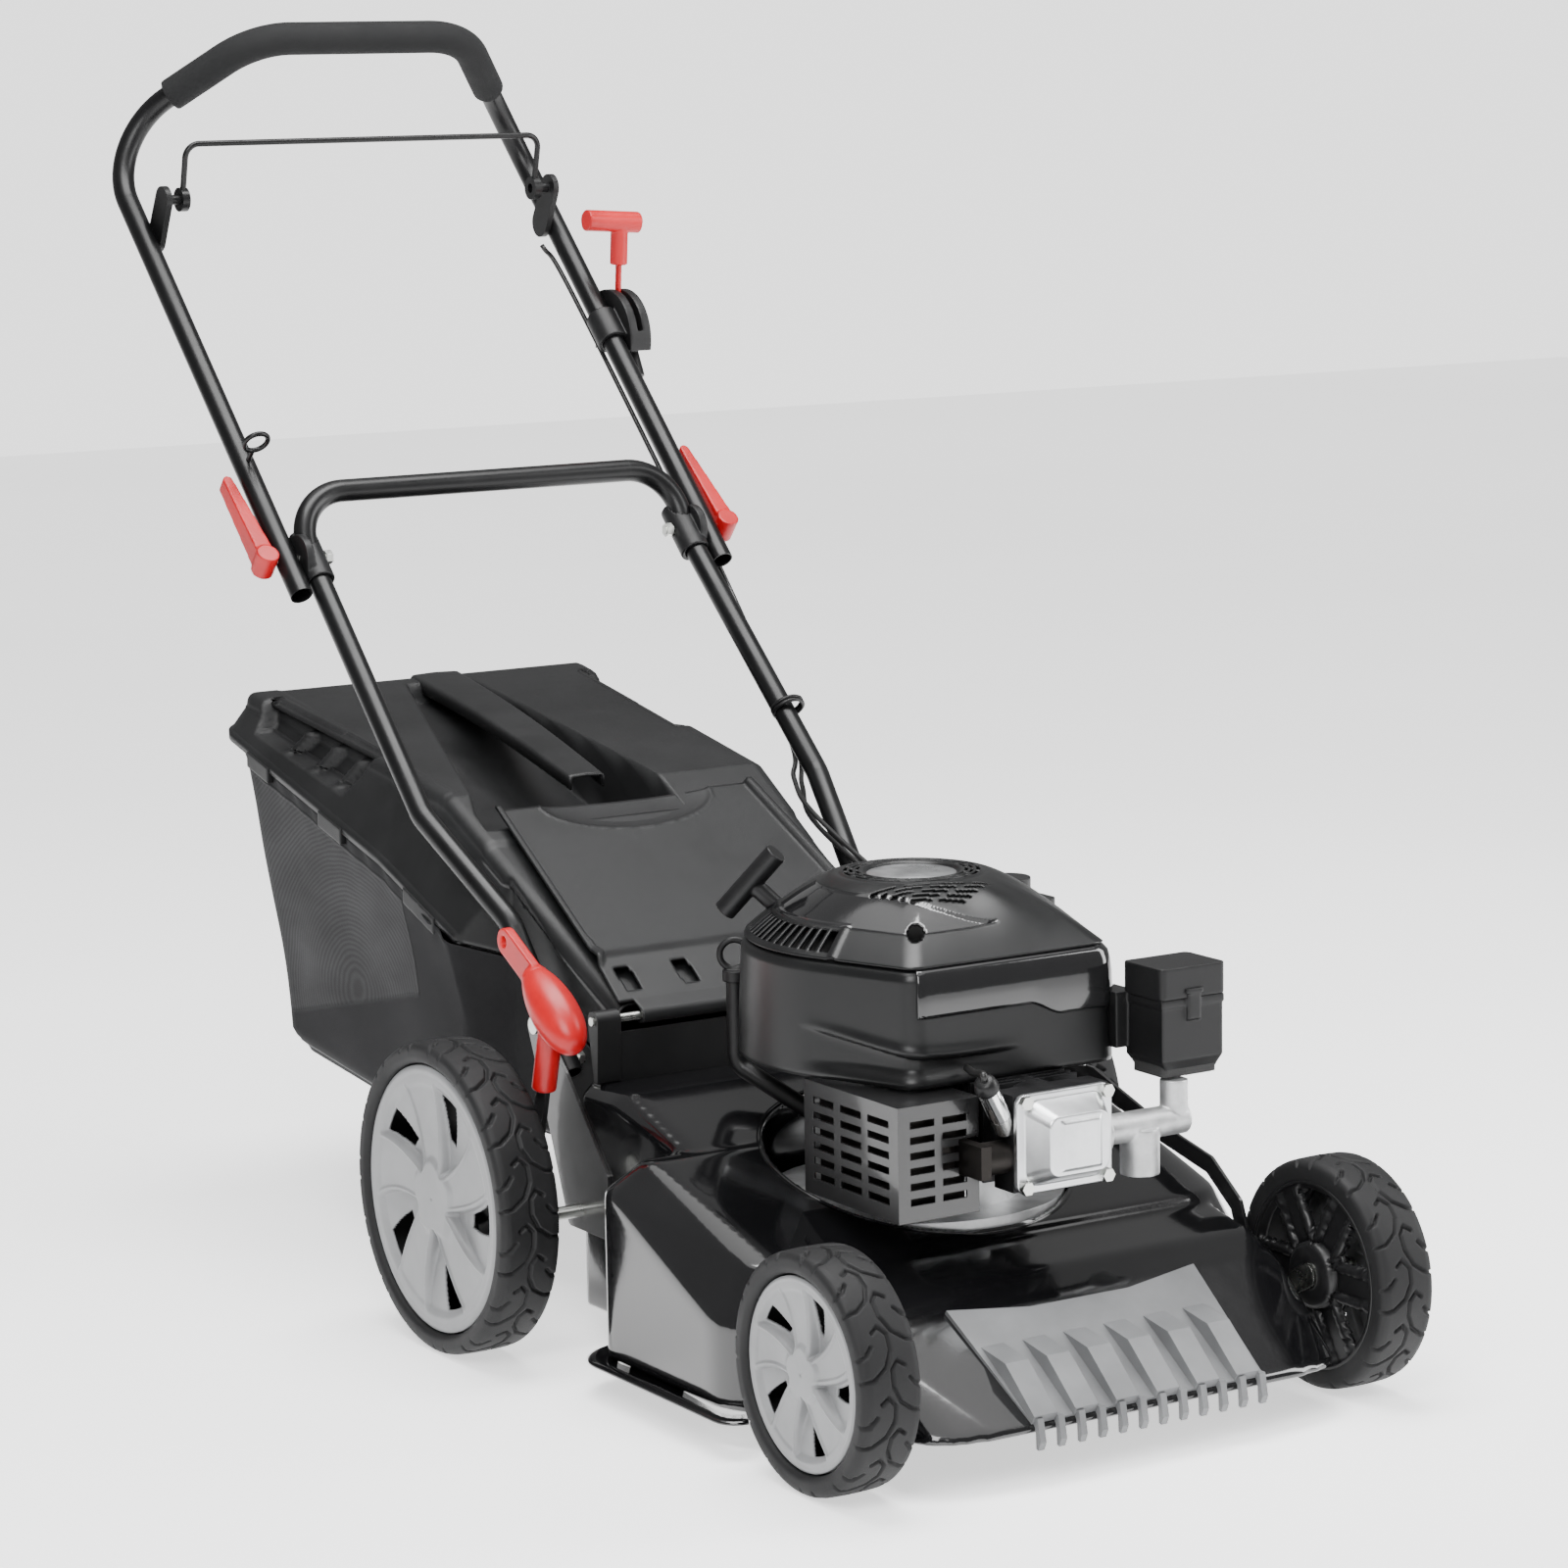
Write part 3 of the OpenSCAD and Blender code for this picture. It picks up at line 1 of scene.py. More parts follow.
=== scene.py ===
"""Looks of a walk-behind petrol lawn mower with a rear grass catcher.

Sizes are in millimetres in the chassis frame, in which the front axle lies over y = 0;
at() turns them into metres in the frame of the CAD model.
"""

import math

import bmesh
import bpy
import numpy as np
from mathutils import Matrix, Vector, geometry
from mathutils.bvhtree import BVHTree


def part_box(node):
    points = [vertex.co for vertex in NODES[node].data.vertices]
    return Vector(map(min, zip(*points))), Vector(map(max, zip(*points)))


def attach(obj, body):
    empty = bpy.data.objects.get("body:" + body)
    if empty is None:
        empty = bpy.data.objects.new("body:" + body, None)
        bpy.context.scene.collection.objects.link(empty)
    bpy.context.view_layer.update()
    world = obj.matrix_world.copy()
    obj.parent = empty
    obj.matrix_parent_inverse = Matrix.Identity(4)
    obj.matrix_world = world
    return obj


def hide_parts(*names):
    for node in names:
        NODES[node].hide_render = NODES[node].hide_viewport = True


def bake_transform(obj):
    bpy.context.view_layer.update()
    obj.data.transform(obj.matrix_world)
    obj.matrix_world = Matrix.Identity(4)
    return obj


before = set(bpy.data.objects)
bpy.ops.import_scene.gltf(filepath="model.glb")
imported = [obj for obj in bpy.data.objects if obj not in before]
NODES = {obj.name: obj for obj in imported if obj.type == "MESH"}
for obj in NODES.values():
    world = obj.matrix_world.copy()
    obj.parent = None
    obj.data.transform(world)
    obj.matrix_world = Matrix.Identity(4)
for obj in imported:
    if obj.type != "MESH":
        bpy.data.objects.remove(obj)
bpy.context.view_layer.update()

MM = 0.001
axle_low, axle_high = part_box("wheel_front_left")
SHIFT = -(axle_low.y + axle_high.y) / 2

# Driving sizes of the machine, as in the CAD source
ENGINE_Y = 260
SHROUD_R = 152
SHROUD_Z = 288
SHROUD_TOP = 385
COVER_TOP = 439
FRONT_R = 100
REAR_R = 140
WHEELBASE = 542
HINGE = (488, 292)
FLAP_ANGLE = math.radians(28)
MOUTH_Y = 500.3
LEAN = Vector((0, math.cos(math.pi / 4), math.sin(math.pi / 4)))


def at(x, y, z):
    """A point of the chassis frame, in metres in the row frame."""
    return Vector((x * MM, y * MM - SHIFT, z * MM))


# ---------------------------------------------------------------- materials


class Shader:
    """A Principled material with helpers that wire procedural detail into it."""

    def __init__(self, name, color, roughness=0.5, metallic=0.0, coat=0.0, specular=0.5):
        self.material = bpy.data.materials.new(name)
        self.material.use_nodes = True
        self.tree = self.material.node_tree
        self.main = self.tree.nodes["Principled BSDF"]
        self.color = color
        self.roughness = roughness
        self.set("Base Color", (*color, 1))
        self.set("Roughness", roughness)
        self.set("Metallic", metallic)
        self.set("Specular IOR Level", specular)
        self.set("Coat Weight", coat)
        self.set("Coat Roughness", 0.06)
        self.height = None
        self.coords = self.node("ShaderNodeTexCoord").outputs["Object"]

    def set(self, socket, value):
        self.main.inputs[socket].default_value = value

    def node(self, kind, **values):
        made = self.tree.nodes.new(kind)
        for key, value in values.items():
            setattr(made, key, value)
        return made

    def link(self, a, b):
        self.tree.links.new(a, b)

    def noise(self, scale, detail=3.0, stretch=(1, 1, 1), roughness=0.55):
        mapping = self.node("ShaderNodeMapping")
        mapping.inputs["Scale"].default_value = stretch
        self.link(self.coords, mapping.inputs["Vector"])
        noise = self.node("ShaderNodeTexNoise")
        noise.inputs["Scale"].default_value = scale
        noise.inputs["Detail"].default_value = detail
        noise.inputs["Roughness"].default_value = roughness
        self.link(mapping.outputs["Vector"], noise.inputs["Vector"])
        return noise.outputs["Fac"]

    def math(self, operation, a, b=None, clamp=False):
        made = self.node("ShaderNodeMath", operation=operation, use_clamp=clamp)
        for k, value in enumerate((a, b)):
            if value is None:
                continue
            if isinstance(value, (int, float)):
                made.inputs[k].default_value = value
            else:
                self.link(value, made.inputs[k])
        return made.outputs[0]

    def span(self, value, low, high, to_low, to_high):
        made = self.node("ShaderNodeMapRange")
        self.link(value, made.inputs["Value"])
        for key, number in (
            ("From Min", low), ("From Max", high), ("To Min", to_low), ("To Max", to_high)
        ):
            made.inputs[key].default_value = number
        return made.outputs["Result"]

    def mix(self, factor, a, b):
        made = self.node("ShaderNodeMix", data_type="RGBA")
        sockets = [s for s in made.inputs if s.type == "RGBA"]
        self.link(factor, made.inputs[0])
        for socket, value in zip(sockets, (a, b)):
            if isinstance(value, tuple):
                socket.default_value = (*value, 1)
            else:
                self.link(value, socket)
        return [s for s in made.outputs if s.type == "RGBA"][0]

    def vary(self, scale, amount, tint=None):
        """Mottles the colour and the roughness a little."""
        field = self.noise(scale, 4)
        dark = tuple(c * (1 - amount) for c in self.color)
        light = tint or tuple(min(c * (1 + amount), 1) for c in self.color)
        self.link(self.mix(self.span(field, 0.35, 0.65, 0, 1), dark, light), self.main.inputs["Base Color"])
        rough = self.span(field, 0.3, 0.7, self.roughness * 0.85, min(self.roughness * 1.18, 1))
        self.link(rough, self.main.inputs["Roughness"])
        return self

    def bump(self, height, distance):
        """Adds a bump of the given height field, distance in metres."""
        made = self.node("ShaderNodeBump")
        made.inputs["Strength"].default_value = 1
        made.inputs["Distance"].default_value = distance
        self.link(height, made.inputs["Height"])
        if self.height is not None:
            self.link(self.height, made.inputs["Normal"])
        self.height = made.outputs["Normal"]
        self.link(self.height, self.main.inputs["Normal"])
        return self

    def rounded(self, radius):
        """Softens the look of hard edges."""
        made = self.node("ShaderNodeBevel", samples=4)
        made.inputs["Radius"].default_value = radius
        self.height = made.outputs["Normal"]
        self.link(self.height, self.main.inputs["Normal"])
        return self


def enamel(name, color, roughness):
    s = Shader(name, color, roughness, coat=0.6).rounded(0.0012)
    s.vary(9, 0.12)
    return s.bump(s.noise(260, 2), 0.00004).bump(s.noise(14, 2), 0.0004)


def moulded(name, color, roughness, grain=0.00006, scale=1600, edge=0.0006, specular=0.4):
    s = Shader(name, color, roughness, specular=specular).rounded(edge)
    s.vary(16, 0.14)
    return s.bump(s.noise(scale, 3), grain)


def metal(name, color, roughness, stretch=(1, 1, 1), grain=0.00003, scale=500, edge=0.0004):
    s = Shader(name, color, roughness, metallic=1).rounded(edge)
    s.vary(40, 0.1)
    return s.bump(s.noise(scale, 3, stretch), grain)


def cast(name, color, roughness):
    s = Shader(name, color, roughness, metallic=0.85).rounded(0.0008)
    s.vary(60, 0.16)
    return s.bump(s.noise(900, 4), 0.00016)


def bag_cloth():
    """Black bag fabric with a paler open-weave window where the window attribute is positive."""
    s = Shader("bag cloth", (0.011, 0.011, 0.012), 0.85, specular=0.25)
    window = s.node("ShaderNodeAttribute", attribute_name="window").outputs["Fac"]
    inside = s.span(window, -1.5, 1.5, 0, 1)
    ripple = s.node("ShaderNodeTexWave", wave_type="RINGS", rings_direction="SPHERICAL")
    mapping = s.node("ShaderNodeMapping")
    mapping.inputs["Location"].default_value = (0, -0.3, -0.3)
    mapping.inputs["Scale"].default_value = (0.2, 1, 1.2)
    s.link(s.coords, mapping.inputs["Vector"])
    s.link(mapping.outputs["Vector"], ripple.inputs["Vector"])
    for key, value in (("Scale", 62), ("Distortion", 5), ("Detail", 3), ("Detail Scale", 0.35)):
        ripple.inputs[key].default_value = value
    patch = s.noise(7, 4, (1, 1, 2))
    wave = s.span(ripple.outputs["Fac"], 0, 1, 0.8, 1.25)
    mesh_tone = s.math("MULTIPLY", wave, s.span(patch, 0.3, 0.7, 0.75, 1.5))
    bright = s.mix(s.span(mesh_tone, 0.5, 2.0, 0, 1), (0.016, 0.016, 0.0165), (0.052, 0.052, 0.054))
    solid = s.mix(s.span(patch, 0.3, 0.7, 0, 1), (0.009, 0.009, 0.01), (0.015, 0.015, 0.016))
    s.link(s.mix(inside, solid, bright), s.main.inputs["Base Color"])
    weave = s.noise(1500, 2)
    s.bump(weave, 0.00025)
    edge = s.math("SUBTRACT", 1, s.math("MULTIPLY", s.math("ABSOLUTE", window), 0.35), clamp=True)
    return s.bump(edge, 0.0012)


def make_materials():
    made = {
        "deck": enamel("deck enamel", (0.004, 0.004, 0.0045), 0.12),
        "bracket": enamel("bracket enamel", (0.009, 0.009, 0.0095), 0.3),
        "tube": moulded("tube powder coat", (0.0035, 0.0035, 0.0038), 0.32, 0.00002, 1200, 0.0004, 0.3),
        "guard": moulded("silver-grey moulding", (0.15, 0.153, 0.157), 0.42, 0.00005, 1800, 0.0008),
        "plastic": moulded("black moulding", (0.006, 0.006, 0.0064), 0.42, specular=0.3),
        "lid": moulded("grained catcher plastic", (0.009, 0.0092, 0.0096), 0.46, 0.00012, 1300, 0.0012, 0.3),
        "flap": moulded("grained flap plastic", (0.008, 0.0082, 0.0086), 0.46, 0.00012, 1300, 0.0012, 0.3),
        "zinc": metal("zinc plate", (0.62, 0.63, 0.6), 0.28),
        "sheath": moulded("cable sheath", (0.012, 0.012, 0.012), 0.38, 0.00003, 900, 0.0002),
        "cast": cast("cast aluminium", (0.52, 0.525, 0.53), 0.42),
        "iron": cast("coated iron fins", (0.02, 0.02, 0.021), 0.5),
        "valve_cover": metal("pressed cover", (0.66, 0.67, 0.68), 0.33, grain=0.00008, scale=900),
        "steel": metal("bright steel", (0.6, 0.6, 0.59), 0.25),
        "chrome": metal("chrome", (0.8, 0.8, 0.8), 0.08, grain=0.00002),
        "heat_steel": metal("heat-dulled steel", (0.035, 0.032, 0.03), 0.5),
        "shroud": moulded("satin shroud", (0.005, 0.0052, 0.0055), 0.34, 0.00007, 1500, 0.0012, 0.35),
        "visor": enamel("gloss visor", (0.007, 0.007, 0.0075), 0.1),
        "blade": metal("ground blade", (0.35, 0.35, 0.35), 0.4, stretch=(1, 12, 1)),
        "tyre": moulded("tyre rubber", (0.009, 0.009, 0.0095), 0.6, 0.00014, 1100, 0.0004, 0.25),
        "rim": moulded("black wheel moulding", (0.006, 0.006, 0.0065), 0.36),
        "hubcap": moulded("silver hubcap", (0.19, 0.193, 0.197), 0.4, 0.00003, 2200, 0.0006, 0.5),
        "red": moulded("red plastic", (0.42, 0.003, 0.006), 0.34, 0.00005, 1200, 0.0008, 0.4),
        "foam": moulded("grip foam", (0.012, 0.0122, 0.0126), 0.8, 0.0003, 1500, 0.0008, 0.2),
        "cloth": bag_cloth(),
        "filter": moulded("filter foam", (0.03, 0.03, 0.03), 0.9, 0.0006, 900),
        "disc": metal("bare disc", (0.7, 0.71, 0.72), 0.3, grain=0.00005),
        # near-black material for the dome under the top cover: painted shade seen through the cover's slots
        "dark": moulded("shaded inside", (0.004, 0.004, 0.004), 0.7),
        "rope": moulded("starter rope", (0.02, 0.02, 0.02), 0.8, 0.0003, 1500),
    }
    return {key: shader.material for key, shader in made.items()}


MATERIALS = make_materials()

CAD_LOOKS = {
    "deck": ["deck"],
    "bracket": ["rear_brackets", "height_link", "height_lever", "muffler_guard"],
    "tube": ["lower_handle", "upper_handle", "bail", "rope_guide"],
    "guard": ["front_guard"],
    "plastic": [
        "chute_plate", "knuckles", "bail_brackets", "throttle_housing", "air_filter_box",
        "air_filter_lid", "oil_filler_tube", "fuel_cap", "dipstick", "starter_grip", "fuel_tank",
    ],
    "lid": ["catcher_lid", "catcher_bag"],
    "flap": ["discharge_flap"],
    "zinc": [
        "flap_rod", "flap_spring", "handle_bolts", "valve_cover_bolts", "rear_axle",
        "front_axle", "blade_bolt",
    ],
    "sheath": ["brake_cable", "throttle_cable"],
    "cast": ["crankcase", "carburettor", "flywheel"],
    "iron": ["cylinder"],
    "valve_cover": ["valve_cover"],
    "steel": ["spark_plug", "crankshaft", "blade_adapter"],
    "chrome": ["plug_boot"],
    "heat_steel": ["muffler"],
    "filter": ["air_filter_element"],
    "shroud": ["blower_housing"],
    "visor": ["top_cover"],
    "blade": ["blade"],
    "tyre": ["wheel_front_left", "wheel_front_right", "wheel_rear_left", "wheel_rear_right"],
    "hubcap": ["hubcap_front_left", "hubcap_front_right", "hubcap_rear_left", "hubcap_rear_right"],
    "red": ["height_grip", "throttle_lever", "clamp_lever_left", "clamp_lever_right"],
    "foam": ["foam_grip"],
}


def dress_cad_nodes():
    for look, names in CAD_LOOKS.items():
        for name in names:
            slots = NODES[name].data.materials
            if len(slots) == 0:
                slots.append(MATERIALS[look])
            for k in range(len(slots)):
                slots[k] = MATERIALS[look]


dress_cad_nodes()


# ---------------------------------------------------------------- mesh tools


def piece(name, mesh, look, body, replaces=(), smooth=True):
    """Puts a mesh into the scene as a piece that rides a body."""
    made = bpy.data.objects.new(name, mesh)
    bpy.context.scene.collection.objects.link(made)
    mesh.materials.append(MATERIALS[look])
    if smooth:
        mesh.shade_smooth()
    if replaces:
        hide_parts(*replaces)
    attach(made, body)
    return made


def mesh_of(name, points, faces):
    mesh = bpy.data.meshes.new(name)
    mesh.from_pydata([tuple(p) for p in points], [], faces)
    mesh.update()
    return mesh


def grid_mesh(name, points, close_u=False, close_v=False, keep=None):
    """A mesh from an array of points [u, v, 3]; keep marks the faces that stay."""
    nu, nv = points.shape[:2]
    faces = []
    for i in range(nu if close_u else nu - 1):
        for j in range(nv if close_v else nv - 1):
            if keep is not None and not keep[i, j]:
                continue
            a, b = (i + 1) % nu, (j + 1) % nv
            faces.append((i * nv + j, a * nv + j, a * nv + b, i * nv + b))
    return mesh_of(name, points.reshape(-1, 3), faces)


def smooth(t):
    t = np.clip(t, 0, 1)
    return t * t * (3 - 2 * t)


def rows(points):
    """Chassis millimetres to row metres, for an array of points."""
    return np.stack([points[..., 0] * MM, points[..., 1] * MM - SHIFT, points[..., 2] * MM], -1)


def thicken(made, thickness, offset=-1):
    thick = made.modifiers.new("thickness", "SOLIDIFY")
    thick.thickness = thickness * MM
    thick.offset = offset
    thick.use_even_offset = False


def tube_mesh(name, path, radius, sides=10, closed=False):
    """A round tube along a path of row points."""
    path = [Vector(p) for p in path]
    count = len(path)
    rings = []
    normal = None
    for k, p in enumerate(path):
        if closed:
            d = path[(k + 1) % count] - path[k - 1]
        else:
            d = path[min(k + 1, count - 1)] - path[max(k - 1, 0)]
        d.normalize()
        if normal is None:
            normal = d.orthogonal().normalized()
        normal = (normal - d * normal.dot(d)).normalized()
        other = d.cross(normal)
        r = radius[k] if hasattr(radius, "__len__") else radius
        rings.append([
            p + r * MM * (math.cos(a) * normal + math.sin(a) * other)
            for a in (2 * math.pi * j / sides for j in range(sides))
        ])
    mesh = grid_mesh(name, np.array([[tuple(q) for q in ring] for ring in rings]), closed, True)
    if not closed:
        fill_ends(mesh)
    return mesh


def fill_ends(mesh):
    work = bmesh.new()
    work.from_mesh(mesh)
    bmesh.ops.holes_fill(work, edges=[e for e in work.edges if e.is_boundary], sides=0)
    bmesh.ops.recalc_face_normals(work, faces=work.faces)
    work.to_mesh(mesh)
    work.free()


def remeshed(name, mesh, voxel, passes):
    """The mesh as one skin of small even faces, with its edges worn soft."""
    shape = bpy.data.objects.new(name, mesh)
    bpy.context.scene.collection.objects.link(shape)
    skin = shape.modifiers.new("skin", "REMESH")
    skin.mode = "VOXEL"
    skin.voxel_size = voxel * MM
    soft = shape.modifiers.new("soft", "SMOOTH")
    soft.factor = 0.5
    soft.iterations = passes
    made = bpy.data.meshes.new_from_object(shape.evaluated_get(bpy.context.evaluated_depsgraph_get()))
    bpy.data.objects.remove(shape)
    made.materials.clear()
    return made


def hulls_mesh(name, groups):
    """One mesh of the convex hulls of several groups of points."""
    work = bmesh.new()
    for group in groups:
        corners = [work.verts.new(at(*p)) for p in group]
        made = bmesh.ops.convex_hull(work, input=corners)
        buried = [v for v in made["geom_interior"] if isinstance(v, bmesh.types.BMVert)]
        bmesh.ops.delete(work, geom=buried, context="VERTS")
    mesh = bpy.data.meshes.new(name)
    work.to_mesh(mesh)
    work.free()
    return mesh


# ---------------------------------------------------------------- camera


def make_camera():
    data = bpy.data.cameras.new("camera")
    data.sensor_width = 36
    data.lens = 106.65
    data.shift_x = -0.052
    data.shift_y = 0.015
    camera = bpy.data.objects.new("camera", data)
    bpy.context.scene.collection.objects.link(camera)
    yaw, pitch, roll = (math.radians(a) for a in (32.846, -9.330, -0.850))
    forward = Vector((
        math.sin(yaw) * math.cos(pitch), math.cos(yaw) * math.cos(pitch), math.sin(pitch)
    ))
    turn = forward.to_track_quat("-Z", "Y").to_matrix().to_4x4()
    camera.matrix_world = (
        Matrix.Translation(at(-2171.17, -3031.65, 1143.05)) @ turn @ Matrix.Rotation(roll, 4, "Z")
    )
    bpy.context.scene.camera = camera


make_camera()

# ---------------------------------------------------------------- cables and starter rope

CABLE_R = 2.5
ROPE_R = 2.0
# Points in chassis millimetres that the brake and throttle cables run through, from the handle down to the
# engine
BRAKE_LINE = [
    (212, 1270, 940), (228, 1236, 890), (228, 960, 614), (218, 806, 472), (202, 772, 436), (182, 700, 410),
    (174, 520, 352), (170, 466, 346), (120, 436, 343), (60.7, 401.3, 340),
]
THROTTLE_LINE = [
    (258, 1157, 803), (258, 1146, 782), (242, 1090, 742), (242, 960, 612), (224, 806, 470), (210, 770, 428),
    (184, 700, 400), (182, 520, 338), (177, 466, 330), (110, 434, 316), (40.8, 408.8, 312),
]
GRIP_C = Vector((-103, 358, 427))
PULL = Vector((-0.55, 0.5, 0.67)).normalized()


def curve_through(points, steps):
    """Points along a Catmull-Rom curve through the given ones."""
    points = [Vector(p) for p in points]
    points = [points[0] * 2 - points[1], *points, points[-1] * 2 - points[-2]]
    line = []
    for a, b, c, d in zip(points, points[1:], points[2:], points[3:]):
        for t in np.arange(steps) / steps:
            line.append(
                0.5 * (
                    2 * b + (c - a) * t + (2 * a - 5 * b + 4 * c - d) * t ** 2
                    + (3 * b - a - 3 * c + d) * t ** 3
                )
            )
    return [at(*p) for p in (*line, points[-2])]


def loose_tube(name, path, radius, look):
    """A tube that rides no body."""
    mesh = tube_mesh(name, path, radius, 12)
    tube = bpy.data.objects.new(name, mesh)
    bpy.context.scene.collection.objects.link(tube)
    mesh.materials.append(MATERIALS[look])
    mesh.shade_smooth()
    return tube


def make_cable(name, line, node):
    """A control cable: a tube along a curve through the line's points, in place of the CAD cable."""
    path = curve_through(line, 10)
    cable = loose_tube(name, path, CABLE_R, "sheath")
    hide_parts(node)
    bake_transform(cable)


def make_starter_rope():
    """Rope from the housing to the grip."""
    ends = [GRIP_C - PULL * 62, GRIP_C - PULL * 8]
    path = [at(*(ends[0].lerp(ends[1], t))) for t in np.linspace(0, 1, 40)]
    rope = loose_tube("starter_rope", path, ROPE_R, "rope")
    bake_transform(rope)


make_cable("brake_cable_sheath", BRAKE_LINE, "brake_cable")
make_cable("throttle_cable_sheath", THROTTLE_LINE, "throttle_cable")
make_starter_rope()


def make_cable_tie():
    """Tie that holds the cables to the handle."""
    middle = Vector((218, 806, 500))
    side, up = Vector((1, 0, 0)), LEAN.cross(Vector((1, 0, 0)))
    for k in (0, 1):
        loop = [
            at(*(middle + LEAN * 4 * k + side * 15.5 * math.cos(a) + up * 14.5 * math.sin(a)))
            for a in np.arange(40) * math.pi / 20
        ]
        name = "cable_tie_%d" % k
        piece(name, tube_mesh(name, loop, 2, 8, True), "plastic", "chassis")


make_cable_tie()

# ---------------------------------------------------------------- wheels

WHEELS = {
    # name: side, track, hub y, radius, tyre width, tread blocks
    "front_left": (1, 518, 0, FRONT_R, 56, 11),
    "front_right": (-1, 518, 0, FRONT_R, 56, 11),
    "rear_left": (1, 604, WHEELBASE, REAR_R, 58, 15),
    "rear_right": (-1, 604, WHEELBASE, REAR_R, 58, 15),
}
TREAD_H = 14
GROOVE = 3.2
HOOK = [(0.02, -1.1), (0.05, -0.62), (0.2, -0.2), (0.42, 0.02), (0.66, 0.02), (0.78, -0.2), (0.7, -0.42)]
CROSS = [(0.34, -1.1), (0.4, -0.75), (0.52, -0.55)]


def wheel_points(name, rho, theta, w):
    """Arrays of the wheel's own radius, angle and depth to points in the row frame."""
    side, track, hub_y, r, width, _ = WHEELS[name]
    x = side * (track / 2 - width / 2 + w)
    y = hub_y + rho * np.sin(theta)
    z = r + rho * np.cos(theta)
    return np.stack([x * MM, y * MM - SHIFT, z * MM], -1)


def groove_depth(u, v, pitch, half):
    """Depth of the curly grooves at u (mm along the tread) and v (mm from its middle)."""
    best = np.full(u.shape, 1e9)
    lines = []
    for line in (HOOK, CROSS):
        lines.append(line)
        lines.append([(a + 0.5, -b) for a, b in line])
    for line in lines:
        for (a0, b0), (a1, b1) in zip(line[:-1], line[1:]):
            for k in (-1, 0, 1):
                p = np.array([(a0 + k) * pitch, b0 * half])
                q = np.array([(a1 + k) * pitch, b1 * half])
                d = q - p
                t = np.clip(((u - p[0]) * d[0] + (v - p[1]) * d[1]) / (d @ d), 0, 1)
                best = np.minimum(best, np.hypot(u - p[0] - t * d[0], v - p[1] - t * d[1]))
    edge = np.clip((1.9 - best) / 0.9, 0, 1)
    return GROOVE * edge


def tyre_profile(r, w):
    """(radius, depth) round the tyre's section, dense over the tread."""
    rim = r - TREAD_H
    points = [(rim - 5, 7), (rim - 5.5, 1.5), (rim - 3, 0.4), (rim + 2, 0.2), (r - 8, 0.3)]
    points += [(r - 8 + 7 * math.sin(a), 7 - 6.7 * math.cos(a)) for a in np.linspace(0.2, 1.2, 8)]
    for b in np.linspace(8, w - 8, 46):
        crown = 1.2 * ((b - w / 2) / (w / 2)) ** 2
        points.append((r - 0.05 - crown, b))
    points += [(r - 8 + 7 * math.sin(a), w - 7 + 6.7 * math.cos(a)) for a in np.linspace(1.2, 0.2, 8)]
    points += [(r - 8, w - 0.3), (rim + 2, w - 0.4), (rim - 1, w - 0.6), (rim - 4, w - 3), (rim - 5, w - 8)]
    return np.array(points)


def make_tyre(name):
    side, track, hub_y, r, width, blocks = WHEELS[name]
    section = tyre_profile(r, width)
    steps = blocks * 56
    theta = np.arange(steps) * 2 * math.pi / steps
    pitch = 2 * math.pi * r / blocks
    rho = np.repeat(section[None, :, 0], steps, 0)
    w = np.repeat(section[None, :, 1], steps, 0)
    u = np.repeat((theta * r)[:, None], len(section), 1) % pitch
    on_tread = np.clip((rho - (r - 8)) / 3.5, 0, 1)
    rho = rho - on_tread * groove_depth(u, w - width / 2, pitch, width / 2)
    points = wheel_points(name, rho, np.repeat(theta[:, None], len(section), 1), w)
    mesh = grid_mesh("tyre_" + name, points, close_u=True, close_v=True)
    piece("tyre_" + name, mesh, "tyre", "wheel_" + name, ["wheel_" + name])


def make_wheel_disc(name):
    """Black inner disc with six openings, a hub and a zinc nut towards the machine."""
    side, track, hub_y, r, width, _ = WHEELS[name]
    rim = r - TREAD_H
    radii = np.array([12, 14, 24, 26, 27, *np.linspace(30, rim * 0.86, 12), rim - 5, rim - 4, rim - 3.5])
    level = np.array([1.5, 1, 1, 2, 9, *([9.5] * 12), 9, 3, 1])
    steps = 180
    theta = np.arange(steps) * 2 * math.pi / steps
    rho = np.repeat(radii[None], steps, 0)
    angle = np.repeat(theta[:, None], len(radii), 1)
    w = np.repeat(level[None], steps, 0)
    away = np.abs((np.degrees(angle) + 30) % 60 - 30) * math.pi / 180 * rho
    opening = (away < np.clip((rho - 0.3 * rim) * 0.52, 0, 60) - 3) & (rho > rim * 0.46) & (rho < rim * 0.84)
    rib = (np.abs(away - np.clip((rho - 0.3 * rim) * 0.52, 0, 60)) < 2) & (rho > 28) & (rho < rim - 4)
    w = w - np.where(rib, 4.5, 0)
    points = wheel_points(name, rho, angle, w)
    disc = piece(
        "wheel_disc_" + name, grid_mesh("wheel_disc_" + name, points, close_u=True, keep=~opening),
        "rim", "wheel_" + name,
    )
    thick = disc.modifiers.new("thickness", "SOLIDIFY")
    thick.thickness = 0.0035
    thick.offset = -side
    collar = [(7, -1), (16, -1), (16, 0.8), (13, 1.2), (13, 4), (7, 4)]
    ring = np.array([wheel_points(
        name, np.full(24, a), np.arange(24) * math.pi / 12, np.full(24, b)
    ) for a, b in collar])
    piece(
        "wheel_washer_" + name, grid_mesh("wheel_washer_" + name, ring, close_v=True),
        "zinc", "wheel_" + name,
    )


